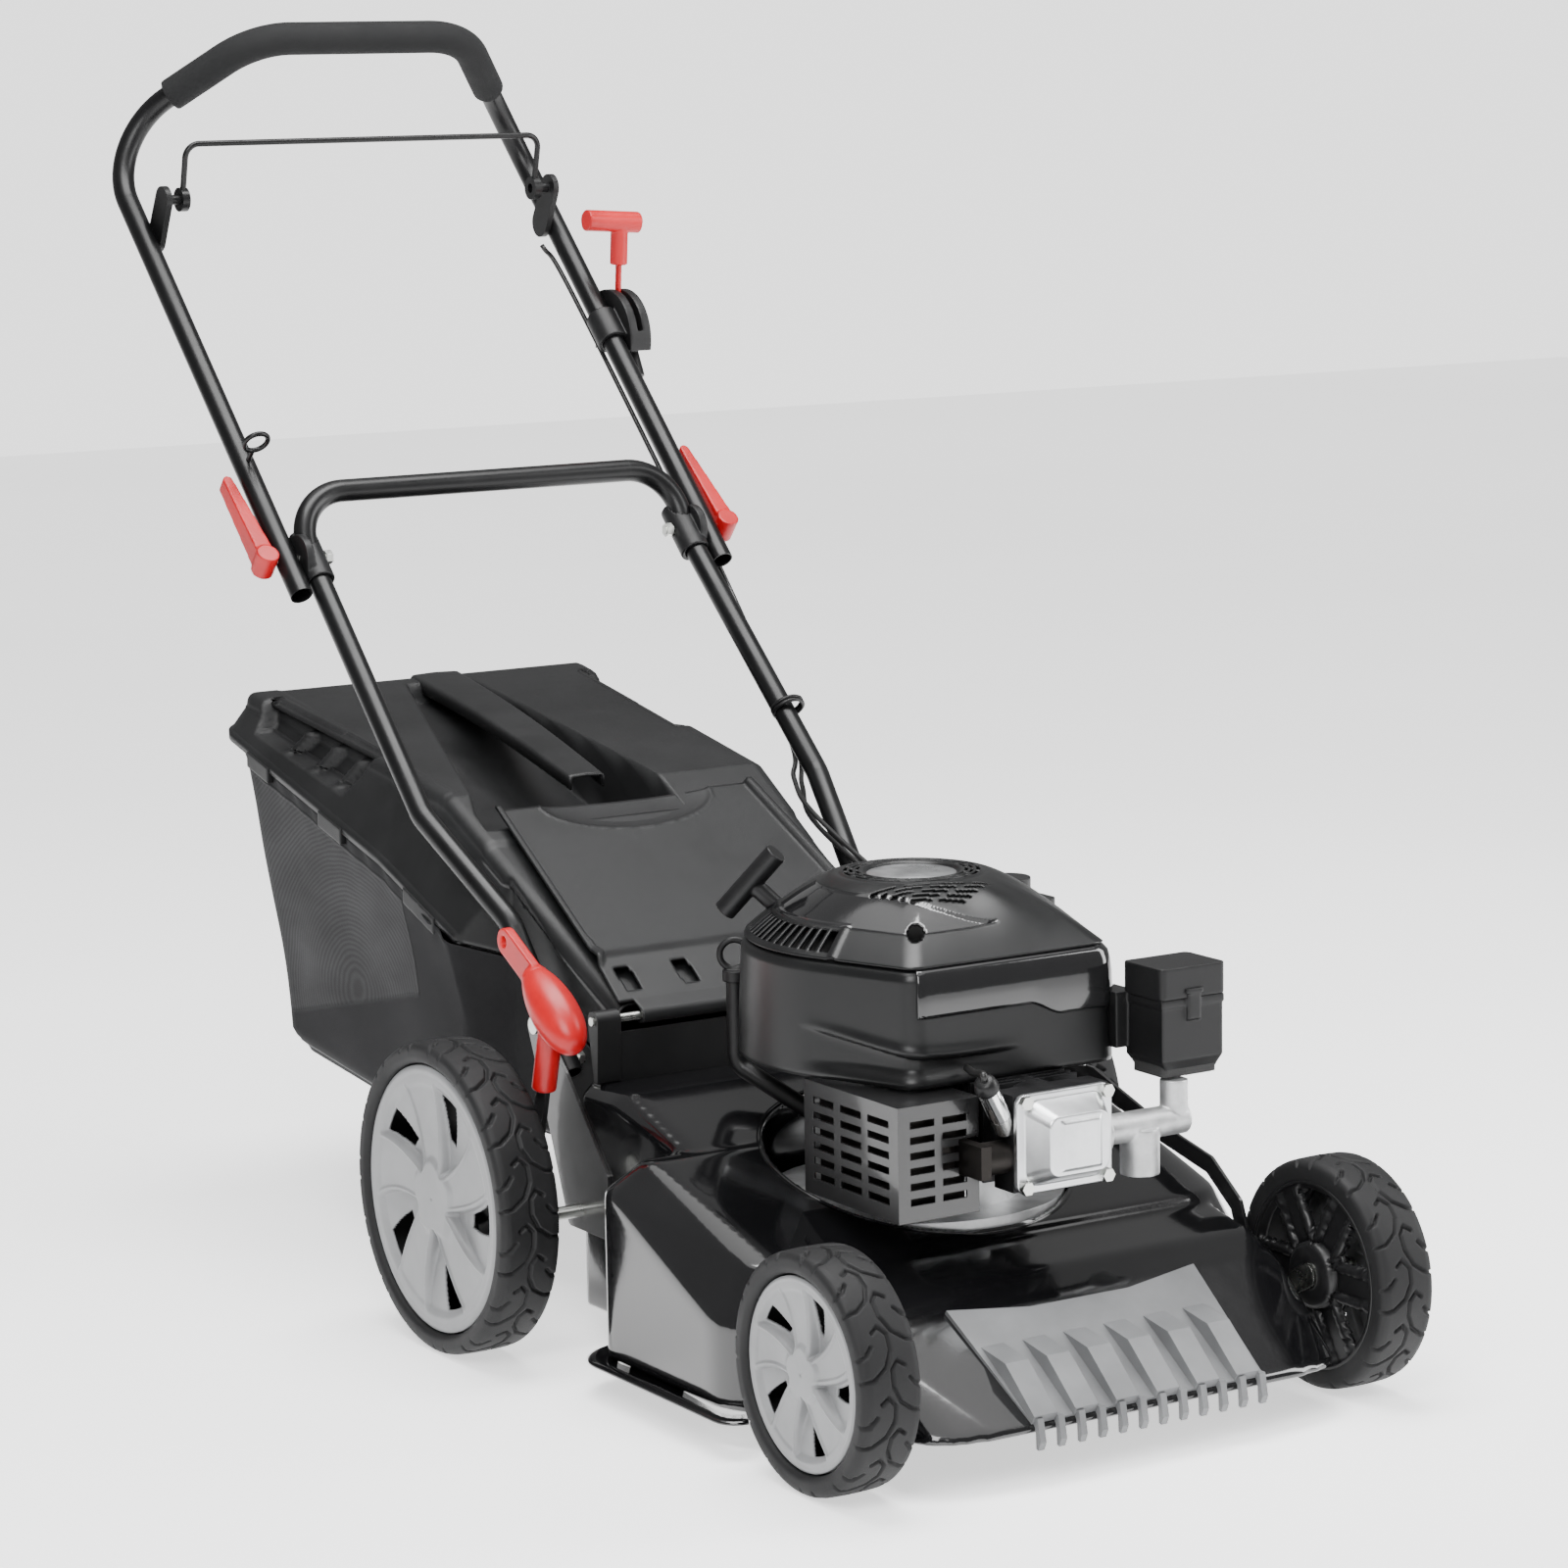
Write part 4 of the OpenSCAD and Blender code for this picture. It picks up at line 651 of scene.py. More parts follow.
def make_hubcap(name):
    """Five-spoked cap: ring, flat centre, spokes with raised edges, deep windows."""
    side, track, hub_y, r, width, _ = WHEELS[name]
    outer = r - TREAD_H - 6.3
    top = width - 2.7
    edge = outer - np.array([3, 2, 1, 0.4, 0.05, 0.0])
    radii = np.concatenate([[0.5], np.linspace(3, outer - 4, 70), edge])
    steps = 480
    theta = np.arange(steps) * 2 * math.pi / steps
    rho = np.repeat(radii[None], steps, 0)
    angle = np.repeat(theta[:, None], len(radii), 1)
    k = rho / outer
    turn = (np.degrees(angle) + side * 14 * k ** 2 + 36) % 72 - 36
    across = np.abs(turn) * math.pi / 180 * rho
    half = outer * (0.115 + 0.17 * k ** 1.6)
    edge = across - half
    spoke = np.clip(1 - edge / 2.2, 0, 1)
    ring = np.clip((k - 0.84) / 0.05, 0, 1)
    centre = np.clip((0.3 - k * (1 + 0.08 * np.cos(5 * np.radians(turn + 36)))) / 0.05, 0, 1)
    body = np.maximum(np.maximum(spoke, ring), centre)
    face = 1.6 + 3.2 * (1 - k) * k * 2
    face = np.where(np.abs(edge + 2.6) < 2.2, face - 1.5 * (1 - np.abs(edge + 2.6) / 2.2), face)
    face = face * (1 - np.maximum(ring, centre)) + 0.6 * np.maximum(ring, centre)
    floor = 4 + 7.5 * np.clip((0.92 - k) / 0.5, 0, 1)
    depth = face * body + floor * (1 - body)
    depth = depth + 1.6 * np.clip((k - 0.955) / 0.045, 0, 1) ** 2
    dish = np.where((k > 0.88) & (k < 0.95), 0.5, 0)
    w = top - depth - dish
    w[:, -1] = width - 14.5
    hole = (edge > 4.5) & (k > 0.5) & (k < 0.82) & (turn * side > 0)
    points = wheel_points(name, rho, angle, w)
    mesh = grid_mesh("hubcap_" + name, points, close_u=True, keep=~hole)
    cap = piece("cap_" + name, mesh, "hubcap", "wheel_" + name, ["hubcap_" + name])
    thick = cap.modifiers.new("thickness", "SOLIDIFY")
    thick.thickness = 0.002
    thick.offset = -side


for wheel in WHEELS:
    make_tyre(wheel)
    make_wheel_disc(wheel)
    make_hubcap(wheel)

# ---------------------------------------------------------------- catcher

CLOTH = 1.2
SHOULDER_R = 14
RIM = ((MOUTH_Y, 240.8), (845.3, 386.3), (1190, 474.3))
CREST = ((MOUTH_Y, 302.7), (785.3, 454.0), (1178, 513.5))
RIM_HALF = ((MOUTH_Y, 196), (845, 216.5), (1190, 216.5))
CREST_HALF = ((MOUTH_Y, 158), (785, 176), (1178, 196))
LEG_ROOM = ((680, 164.4), (752, 262))
VENT_RIBS = (951, 998, 1051)
CLIPS = ((745, 799), (920, 968), (1076, 1122))


def along_line(line, y):
    """The value at y of a line given as (y, value) corners."""
    return np.interp(y, [p[0] for p in line], [p[1] for p in line])


def grip_recess(x, y):
    """Depth of the hand recess in the lid, which runs back from the flap to a point."""
    left = np.interp(y, [757, 1150], [-158, -26])
    right = np.interp(y, [757, 1145], [56, 48])
    inside = np.minimum(np.minimum(x - left, right - x), (y - 735) * 0.8)
    inside = np.minimum(inside, (1150 - y) * 0.6)
    floor = 20 + 44 * smooth((1120 - y) / 240)
    floor = floor * (0.78 + 0.22 * smooth((x + 60) / 50))
    scoop = 26 * smooth((800 - y) / 60) * smooth((-60 - x) / 60)
    return np.maximum(floor - scoop, 0) * smooth(inside / 7)


def vent_pocket(y, s):
    """Depth of the scalloped pocket in the lid's shoulder, s from the rim up to the crest."""
    rear = 1122 + 20 * s
    front = 962 - 40 * s
    inside = np.minimum(np.minimum(rear - y, y - front) / 7, (s - 0.36) / 0.07)
    ribs = 0
    for top in VENT_RIBS:
        ribs = np.maximum(ribs, smooth(1.6 - np.abs(y - top - 30 * (1 - s)) / 5))
    return 17 * smooth(inside) * (1 - 0.72 * ribs * smooth((0.96 - s) / 0.2))


def lid_sections():
    """Grid of the lid's surface: stations from the mouth to the rear face, then across."""
    y_top = np.concatenate([np.linspace(MOUTH_Y, 1164, 250), 1164 + 14 * np.sin(np.linspace(0.1, 1.57, 10))])
    drop = np.concatenate([np.zeros(250), 14 * (1 - np.cos(np.linspace(0.1, 1.57, 10)))])
    y_rear = np.linspace(1178.5, 1188, 14)
    y = np.concatenate([y_top, y_rear])
    ceiling = np.concatenate([along_line(CREST, y_top) - drop, np.linspace(498, 474.5, 14)])
    half = np.linspace(0, 1, 66)
    across = []
    for k, station in enumerate(y):
        pull = 30 * (1 - math.sqrt(max(1 - (max(station - 1158, 0) / 30.5) ** 2, 0)))
        a = along_line(CREST_HALF, station) - pull
        b = along_line(RIM_HALF, station) - pull
        crest = along_line(CREST, station)
        rim = along_line(RIM, station)
        arc = np.linspace(0.1, math.pi / 2, 9)
        side = np.linspace(0.04, 1, 34)
        x = np.concatenate([
            half * (a - SHOULDER_R), a - SHOULDER_R + SHOULDER_R * np.sin(arc),
            a + (b - 4 - a) * side, [b, b, b - 2.5],
        ])
        z = np.concatenate([
            crest + 2 * (1 - half ** 2), crest - SHOULDER_R + SHOULDER_R * np.cos(arc),
            crest - SHOULDER_R + (rim + 9 - crest + SHOULDER_R) * side, [rim + 7, rim, rim],
        ])
        s = np.clip((z - rim) / (crest - rim), 0, 1)
        depth = vent_pocket(station, s)
        x = np.where(x > a - SHOULDER_R, x - 0.9 * depth, x)
        z = np.where(x > a - SHOULDER_R - 8, z - 0.35 * depth * (s > 0.5), z)
        x = np.minimum(x, along_line(LEG_ROOM, station))
        z = np.minimum(z, ceiling[k])
        left = np.stack([-x[:0:-1], z[:0:-1]], -1)
        across.append(np.concatenate([left, np.stack([x, z], -1)]))
    across = np.array(across)
    x, z = across[..., 0], across[..., 1]
    y = np.repeat(y[:, None], x.shape[1], 1)
    top = along_line(CREST, y) - 16 < z
    z = z - np.where(top, grip_recess(x, y), 0)
    step = smooth((712 - y + 0.05 * np.abs(x)) / 3) * 2.5
    plate = smooth((y - 792) / 2.5) * smooth((-157 - x) / 2.5) * 1.2
    z = z + np.where(top, plate - step, 0)
    return np.stack([x, y, z], -1)


def make_lid():
    points = lid_sections()
    lid = piece(
        "lid_shell", grid_mesh("lid_shell", rows(points)), "lid", "catcher",
        ["catcher_lid"],
    )
    thicken(lid, 2.2, 1)
    return lid


def make_lid_clips():
    """Clips that hold the bag's edge under the lid's rim."""
    groups = []
    for low, high in CLIPS:
        for side in (-1, 1):
            corners = []
            for y in (low, high):
                half, rim = along_line(RIM_HALF, y), along_line(RIM, y)
                corners += [(side * (half + dx), y, rim + dz) for dx in (-5, 2) for dz in (-11, 5)]
            groups.append(corners)
    clips = remeshed("lid_clips", hulls_mesh("lid_clips", groups), 1.0, 4)
    piece("lid_clips", clips, "lid", "catcher")


def make_lid_bridge():
    """The handle: an arched strap over the recess."""
    y = np.linspace(800, 1172, 60)
    t = (y - 800) / 372
    middle = np.interp(y, [800, 1172], [-14, 20])
    half = np.interp(y, [800, 1172], [19, 28])
    top = along_line(CREST, y) + 1.6 + 5 * np.sin(math.pi * t)
    left = [(-1, -13), (-1, -3), (-0.93, -0.6), (-0.8, 0)]
    section = [*left, (0, 0.8), *((-side, h) for side, h in reversed(left))]
    points = np.array([
        [(middle[i] + side * half[i], y[i], top[i] + h) for side, h in section] for i in range(len(y))
    ])
    strap = piece("lid_bridge", grid_mesh("lid_bridge", rows(points)), "lid", "catcher")
    thicken(strap, 2.4, 1)


def bag_outline(y_end, half, count):
    """Plan of the bag from the mouth's left side round the rear to the right."""
    corner = 42
    side = np.linspace(MOUTH_Y + 4, y_end - corner, count)
    turn = np.linspace(0, math.pi / 2, 14)[1:]
    back = np.linspace(half - corner, 0, count // 3)[1:]
    x = np.concatenate([np.full(count, half), half - corner + corner * np.cos(turn), back])
    y = np.concatenate([side, y_end - corner + corner * np.sin(turn), np.full(len(back), y_end)])
    return np.stack([np.concatenate([-x, x[-2::-1]]), np.concatenate([y, y[-2::-1]])], -1)


def make_bag():
    """Fabric bag: walls that sag between the rim and the floor, and the floor."""
    high = bag_outline(1167, 212, 110)
    low = bag_outline(1092, 205, 110)
    count = len(high)
    levels = np.linspace(0, 1, 60)
    u = np.arange(count) / count
    walls = []
    for v in levels:
        plan = high + (low - high) * v ** 1.15
        x, y = plan[:, 0].copy(), plan[:, 1].copy()
        rim = along_line(RIM, high[:, 1]) - 1
        floor = np.interp(y, [MOUTH_Y, 885, 1092], [161, 151, 172])
        z = rim + (floor - rim) * v
        belly = math.sin(math.pi * min(v * 1.04, 1)) ** 0.8
        lengthwise = np.clip((y - 560) / 120, 0, 1)
        fold = np.sin(u * 47 + 5 * v) * 1.6 + np.sin(u * 91 - 9 * v + 1.3) * 0.9
        fold += (
            2.4 * np.exp(-((u - 0.30 - 0.05 * v) / 0.02) ** 2)
            - 2.6 * np.exp(-((u - 0.335 - 0.03 * v) / 0.015) ** 2)
        )
        inward = (7 + fold) * belly * lengthwise + 2.2 * math.exp(-v * 26) * np.sin(u * 300)
        side = np.sign(x) * np.clip(np.abs(x) / 90, 0, 1)
        x -= inward * side
        y -= inward * 0.6 * (high[:, 1] > 1140)
        room = along_line(LEG_ROOM, y)
        x = np.clip(x, -room, room)
        bend = 14 * smooth((v - 0.93) / 0.07)
        walls.append(np.stack([x * (1 - bend / 212), y - bend * 0.3, z], -1))
    for w in np.linspace(0.12, 1, 14):
        base = walls[-1] if len(walls) == len(levels) else base
        flat = base.copy()
        flat[:, 0] = base[:, 0] * (1 - w)
        flat[:, 2] = base[:, 2] - 2.5 * math.sin(math.pi * w) - 1
        walls.append(flat)
    points = np.array(walls)
    mesh = grid_mesh("bag_cloth", rows(points))
    bag = piece("bag_cloth", mesh, "cloth", "catcher", ["catcher_bag"])
    window = bag.data.attributes.new("window", "FLOAT", "POINT")
    y, z = points[..., 1].ravel(), points[..., 2].ravel()
    front = y - np.interp(z, [268, 346], [793, 812])
    bottom = z - np.interp(y, [793, 1045, 1150], [268, 211, 190])
    top = along_line(RIM, y) - 17 - z
    rear = 1106 - y + 0.14 * (z - 190)
    inside = np.minimum(np.minimum(front, bottom), np.minimum(top, rear))
    on_side = np.abs(points[..., 0].ravel()) > 120
    window.data.foreach_set("value", np.where(on_side, inside, -50).astype(np.float32))
    thicken(bag, CLOTH, -1)
    return points


def make_bag_piping(points):
    """Binding along the rear upright edges and round the floor."""
    corners = [int(np.argmin(np.hypot(points[0, :, 0] - sx * 200, points[0, :, 1] - 1155))) for sx in (-1, 1)]
    for side, k in zip("rl", corners):
        path = rows(points[2:58, k])
        name = "bag_piping_" + side
        piece(name, tube_mesh(name, path[::2], 2.2, 8), "plastic", "catcher")
    path = rows(points[57, ::3])
    piece("bag_piping_floor", tube_mesh("bag_piping_floor", path, 2.0, 8), "plastic", "catcher")


def flap_point(x, s, n):
    """A point of the flap: x across, s up its slope from the hinge and n out of its plane."""
    c, k = math.cos(FLAP_ANGLE), math.sin(FLAP_ANGLE)
    return np.stack([x, HINGE[0] + s * c - n * k, HINGE[1] + s * k + n * c], -1)


def make_flap():
    """Discharge flap: rolled hinge, creased foot with four slots, raised edges, finger dish."""
    roll = np.radians(np.linspace(-60, -270, 18))
    body = np.arange(14, 306.5, 3)
    s = np.concatenate([7.6 * np.cos(roll), body])
    n = np.concatenate([7.6 * np.sin(roll), np.interp(body, [14, 70, 84, 306], [6.5, 12.5, 7.6, 7.2])])
    half = np.interp(s, [0, 306], [158, 140])
    t = np.linspace(-1, 1, 161)
    x = half[:, None] * t[None]
    ss = np.repeat(s[:, None], len(t), 1)
    nn = np.repeat(n[:, None], len(t), 1)
    edge = half[:, None] - np.abs(x)
    wide = np.interp(ss, [58, 76, 110, 306], [0.5, 13, 8, 8])
    nn = nn + np.where(ss > 56, 6.2 * smooth((wide - edge) / 2.5) * smooth((ss - 58) / 10), 0)
    oval = 1 - (x / 92) ** 2 - ((ss - 304) / 46) ** 2
    nn = nn - 5.5 * np.sqrt(np.clip(oval, 0, 1)) * (ss > 200)
    lip = np.abs(oval) < 0.05
    nn = nn + np.where(lip & (ss > 200), 0.8, 0)
    keep = np.ones((len(s) - 1, len(t) - 1), bool)
    mid_x = 0.5 * (x[:-1, :-1] + x[:-1, 1:])
    mid_s = 0.5 * (ss[:-1, :-1] + ss[1:, :-1])
    for slot_x in (75, 135):
        keep &= ~((np.abs(np.abs(mid_x) - slot_x) < 8) & (np.abs(mid_s - 41) < 14))
    keep &= ~((np.abs(mid_x) > 143) & (mid_s < 15))
    flap = piece(
        "flap_plate", grid_mesh("flap_plate", rows(flap_point(x, ss, nn)), keep=keep), "flap", "flap",
        ["discharge_flap"],
    )
    thicken(flap, 2.6, 1)


make_lid()
make_lid_clips()
make_lid_bridge()
make_bag_piping(make_bag())
make_flap()

# ---------------------------------------------------------------- engine covers

SPOKES = 480
ANGLES = np.arange(SPOKES) * 2 * math.pi / SPOKES
CORNER = (88, 127, 22)
GRILLE = (141, 206)
GRILLE_SLOTS = 14
# Inset from the shroud's outline and height, from the visor's lower edge to its upper one
VISOR_PROFILE = (
    (6, 334), (1.2, 335), (0.4, 337), (0.2, 350), (0.8, 364), (2, 374), (4, 381), (8, 385), (12, 386),
)


def shroud_outline():
    """Plan of the blower housing at the polar angles round the crankshaft."""
    turn = np.linspace(0, 2 * math.pi, 240)
    points = [(SHROUD_R * math.cos(a), ENGINE_Y + SHROUD_R * math.sin(a)) for a in turn]
    for side in (-1, 1):
        points += [
            (side * CORNER[0] + CORNER[2] * math.cos(a), CORNER[1] + CORNER[2] * math.sin(a))
            for a in np.linspace(0, 2 * math.pi, 60)
        ]
    hull = np.array([points[k] for k in geometry.convex_hull_2d(points)])
    hull = np.concatenate([hull, hull[:1]]) - (0, ENGINE_Y)
    outline = []
    for angle in ANGLES:
        d = np.array([math.cos(angle), math.sin(angle)])
        p, e = hull[:-1], np.diff(hull, axis=0)
        cross = d[0] * e[:, 1] - d[1] * e[:, 0]
        cross[np.abs(cross) < 1e-9] = 1e-9
        reach = (p[:, 0] * e[:, 1] - p[:, 1] * e[:, 0]) / cross
        along = (p[:, 0] * d[1] - p[:, 1] * d[0]) / cross
        hit = (along >= -1e-6) & (along <= 1 + 1e-6) & (reach > 0)
        outline.append(d * reach[hit].max() + (0, ENGINE_Y))
    return np.array(outline)


OUTLINE = shroud_outline()
tangent = np.roll(OUTLINE, -3, 0) - np.roll(OUTLINE, 3, 0)
INWARD = np.stack([-tangent[:, 1], tangent[:, 0]], -1) / np.linalg.norm(tangent, axis=1)[:, None]
DEGREES = np.degrees(ANGLES)


def ring(inset, z):
    """One level of a cover: the outline moved in by inset, at height z; both may vary round it."""
    plan = OUTLINE + INWARD * np.broadcast_to(inset, SPOKES)[:, None]
    return np.concatenate([plan, np.broadcast_to(z, SPOKES)[:, None]], 1)


def round_between(low, high, edge=6):
    """1 at the angles from low to high in degrees, with soft ends."""
    turned = (DEGREES - low) % 360
    width = (high - low) % 360
    return smooth(np.minimum(turned, width - turned) / edge)


def make_shroud():
    """Satin lower housing with a swept crease on its right side and a chin at the front."""
    front = round_between(195, 275, 30)
    crease = 333 - 20 * smooth((DEGREES - 185) / 70)
    levels = []
    for z in (SHROUD_Z, SHROUD_Z + 0.1, *np.linspace(SHROUD_Z + 2, SHROUD_TOP - 8, 56)):
        inset = 1.5 if z > SHROUD_Z else 6
        below = smooth((crease - z) / 4)
        ridge = np.exp(-((z - crease) / 5.0) ** 2)
        inset = inset + front * (6.5 * below * smooth((z - 290) / 12) + 1.5 * below - 2.2 * ridge)
        inset = inset + 0.05 * (z - SHROUD_Z)
        levels.append(ring(inset, z))
    for turn in np.linspace(0.2, math.pi / 2, 7):
        levels.append(ring(6.5 + 7 * (1 - math.cos(turn)), SHROUD_TOP - 8 + 7 * math.sin(turn)))
    shroud = piece(
        "engine_shroud", grid_mesh("engine_shroud", rows(np.array(levels)), close_v=True), "shroud",
        "chassis", ["blower_housing"],
    )
    thicken(shroud, 2.2, -1)


def make_visor():
    """Gloss band set into the shroud's upper front."""
    inside = round_between(236, 352, 3) > 0.5
    levels = []
    for inset, z in VISOR_PROFILE:
        drop = 12 * round_between(276, 352, 12)
        levels.append(ring(inset, z + np.where(z < 350, 12 - drop, 0)))
    keep = np.repeat(inside[None], len(levels) - 1, 0)
    visor = piece(
        "engine_visor", grid_mesh("engine_visor", rows(np.array(levels)), close_v=True, keep=keep),
        "visor", "chassis",
    )
    thicken(visor, 1.5, -1)


def cover_levels(count):
    """Rings of the domed top cover, from its outer edge in to the flat top."""
    inner = np.stack([66 * np.cos(ANGLES), ENGINE_Y + 66 * np.sin(ANGLES)], -1)
    levels = []
    for t in np.linspace(0, 1, count):
        outer = OUTLINE + INWARD * 8
        plan = outer + (inner - outer) * t
        nose = 5 * np.exp(-(((DEGREES - 283 + 180) % 360 - 180) / 13) ** 2) * math.sin(math.pi * t)
        z = 386.5 + (COVER_TOP - 388.5) * (1 - (1 - t) ** 1.35) + nose
        levels.append(np.concatenate([plan, z[:, None]], 1))
    return levels


def make_top_cover():
    """Domed cover: side grille, gloss cheek with a round hole, ringed air slots and rows in front."""
    slope = cover_levels(64)
    flat = []
    for r in np.arange(64, 38, -1.0):
        plan = np.stack([r * np.cos(ANGLES), ENGINE_Y + r * np.sin(ANGLES)], -1)
        z = COVER_TOP - 2 + 1.6 * smooth((64 - r) / 6) - 2.4 * smooth((44 - r) / 2)
        flat.append(np.concatenate([plan, np.full((SPOKES, 1), z)], 1))
    points = np.array(slope + flat)
    t = np.concatenate([np.linspace(0, 1, 64), np.full(len(flat), 2.0)])[:-1, None]
    angle = np.repeat((DEGREES + 0.375)[None], len(points) - 1, 0)
    centre = points[:-1, :, :]
    x, y = centre[..., 0], centre[..., 1] - ENGINE_Y
    r = np.hypot(x, y)
    keep = np.ones(angle.shape, bool)
    in_grille = (angle > GRILLE[0]) & (angle < GRILLE[1])
    pitch = (GRILLE[1] - GRILLE[0]) / GRILLE_SLOTS
    keep &= ~(in_grille & ((angle - GRILLE[0]) % pitch > 1.5) & (t > 0.06) & (t < 0.30))
    for k, radius in enumerate((48, 53, 58)):
        gap = (angle + 9 * k) % 24 > 4
        keep &= ~((np.abs(r - radius) < 1.3) & gap & (t > 1.5))
    turned = math.radians(-20)
    along = x * math.cos(turned) + y * math.sin(turned)
    forward = x * math.sin(turned) - y * math.cos(turned)
    for k in range(5):
        row = np.abs(forward - 66 - 6.5 * k) < 1.6
        slots = ((along + 9 * k) % 30 > 7) & (np.abs(along) < 52 - 7 * k)
        keep &= ~(row & slots & (t < 1.5) & (t > 0.3))
    hole = np.hypot((angle - 238) * 2.0, (t - 0.36) * 70) < 8
    keep &= ~(hole & (t < 1))
    level = np.concatenate([np.linspace(0, 1, 64), np.full(len(flat), 2.0)])[:, None]
    beside = np.minimum(DEGREES - GRILLE[0] + 2.5, GRILLE[1] + 2.5 - DEGREES)[None] * 1.2
    edge = np.minimum(beside, (0.37 - level) * 60)
    frame_lift = 1.6 * np.exp(-(edge / 1.3) ** 2)
    cheek_top = 0.8 - 0.5 * smooth((DEGREES - 225) / 60)[None]
    cheek = ((DEGREES > 150) & (DEGREES < 290))[None] & (level > 0.34) & (level < cheek_top)
    points[..., 2] += frame_lift - 1.8 * cheek
    mesh = grid_mesh("engine_cover", rows(points), close_v=True, keep=keep)
    cover = piece("engine_cover", mesh, "shroud", "chassis", ["top_cover"])
    mesh.materials.append(MATERIALS["visor"])
    faces = np.zeros(keep.shape, int)
    faces[cheek[:-1]] = 1
    mesh.polygons.foreach_set("material_index", faces[keep].astype(np.int32))
    thicken(cover, 2.2, -1)


def disc_mesh(name, centre, profile, steps=96):
    """Turned piece about a vertical axis at centre, from (radius, height) corners."""
    angles = np.arange(steps) * 2 * math.pi / steps
    rings = [
        np.stack([
            centre[0] + r * np.cos(angles), centre[1] + r * np.sin(angles), np.full(steps, centre[2] + z)
        ], -1) for r, z in profile
    ]
    mesh = grid_mesh(name, rows(np.array(rings)), close_v=True)
    fill_ends(mesh)
    return mesh


def make_cover_disc():
    middle = (0, ENGINE_Y, COVER_TOP - 4)
    disc = disc_mesh("cover_disc", middle, [(39.5, 0), (39.5, 2.6), (38.5, 3.6), (20, 4), (0.5, 4)])
    piece("cover_disc", disc, "disc", "chassis")
    # A near-black dome under the top cover stands in for the shade inside it: painted shade that shows
    # through the slots
    dark = disc_mesh("cover_painted_shade", (0, ENGINE_Y, 374), [(136, 0), (136, 2), (62, 48), (0.5, 50)])
    piece("cover_painted_shade", dark, "dark", "chassis")


make_shroud()
make_visor()
make_top_cover()
make_cover_disc()

# ---------------------------------------------------------------- moulded and cast pieces

SOFT_PIECES = {
    "air_filter_lid": ("air_filter_lid", "plastic", "black_plastic", 1.0, 5),
    "throttle_housing": ("upper_handle", "plastic", "black_plastic", 0.9, 4),
    "throttle_lever": ("throttle_lever", "red", "red_plastic", 0.8, 6),
    "clamp_lever_left": ("clamp_lever_left", "red", "red_plastic", 0.9, 7),
    "clamp_lever_right": ("clamp_lever_right", "red", "red_plastic", 0.9, 7),
    "height_grip": ("rear_axle", "red", "red_plastic", 0.9, 8),
    "knuckles": ("chassis", "plastic", "black_plastic", 1.1, 4),
    "starter_grip": ("starter_grip", "plastic", "black_plastic", 0.9, 7),
    "fuel_cap": ("fuel_cap", "plastic", "black_plastic", 0.8, 4),
    "dipstick": ("dipstick", "plastic", "black_plastic", 0.8, 4),
    "carburettor": ("chassis", "cast", "cast_aluminium", 1.0, 4),
    "valve_cover": ("chassis", "valve_cover", "cover_steel", 0.8, 4),
    "plug_boot": ("chassis", "chrome", "boot_chrome", 0.6, 4),
    "foam_grip": ("upper_handle", "foam", "grip_foam", 1.5, 6),
}


def soften_pieces():
    for node, (body, look, slot, voxel, passes) in SOFT_PIECES.items():
        source = NODES[node]
        mesh = source.data.copy()
        mesh.transform(source.matrix_world)
        made = remeshed(node + "_moulding", mesh, voxel, passes)
        piece(node + "_moulding", made, look, body, [node])


def ring_points(x, y, r, z0, z1, steps=40):
    return [
        (x + r * math.cos(a), y + r * math.sin(a), z)
        for a in (2 * math.pi * k / steps for k in range(steps)) for z in (z0, z1)
    ]


def make_air_box():
    """Air filter box: tapered foot, rim under the lid and the spring clip in front."""
    body = [
        [(x, y, 346) for x in (113, 177) for y in (51, 103)]
        + [(x, y, 292) for x in (113, 177) for y in (51, 103)]
        + [(x, y, 276) for x in (124, 170) for y in (58, 98)],
    ]
    rim = [[(x, y, z) for x in (112, 178) for y in (50, 104) for z in (338, 344)]]
    duct = [[(x, y, z) for x in (100, 122) for y in (99, 132) for z in (298, 346)]]
    clip = [[(x, y, z) for x in (138, 152) for y in (47.5, 51) for z in (326, 352)]]
    hook = [[(x, y, z) for x in (136, 154) for y in (46.5, 49.5) for z in (349, 353)]]
    made = remeshed("air_box", hulls_mesh("air_box", body + rim + duct + clip + hook), 1.0, 5)
    piece("air_box", made, "plastic", "chassis", ["air_filter_box"])


def make_valve_details():
    """Raised panel of the valve cover, the plug's cap and its lead."""
    panel = [[
        *((x, 13.5, z) for x, z in ((-22, 222), (24, 222), (24, 270), (-22, 270))),
        *((x, 9.8, z) for x, z in ((-17, 227), (19, 227), (19, 265), (-17, 265))),
    ]]
    made = remeshed("valve_panel", hulls_mesh("valve_panel", panel), 0.8, 4)
    piece("valve_panel", made, "valve_cover", "chassis")
    foot = Vector((-48, 51, 258))
    axis = Vector((-0.55, -0.3, 0.78)).normalized()
    cap_line = [at(*(foot + axis * s)) for s in (50, 52, 54, 60, 62)]
    cap = tube_mesh("plug_cap", cap_line, [9.8, 10.4, 10.4, 9.0, 6.0], 24)
    piece("plug_cap", cap, "plastic", "chassis")
    start = [foot + axis * 60, foot + axis * 68 + Vector((4, 4, 0))]
    lead = curve_through([*start, (-66, 70, 304), (-50, 104, 300)], 10)
    piece("plug_lead", tube_mesh("plug_lead", lead, 3.2, 12), "sheath", "chassis")


EGG_MIDDLE = (439.3, 319.8)


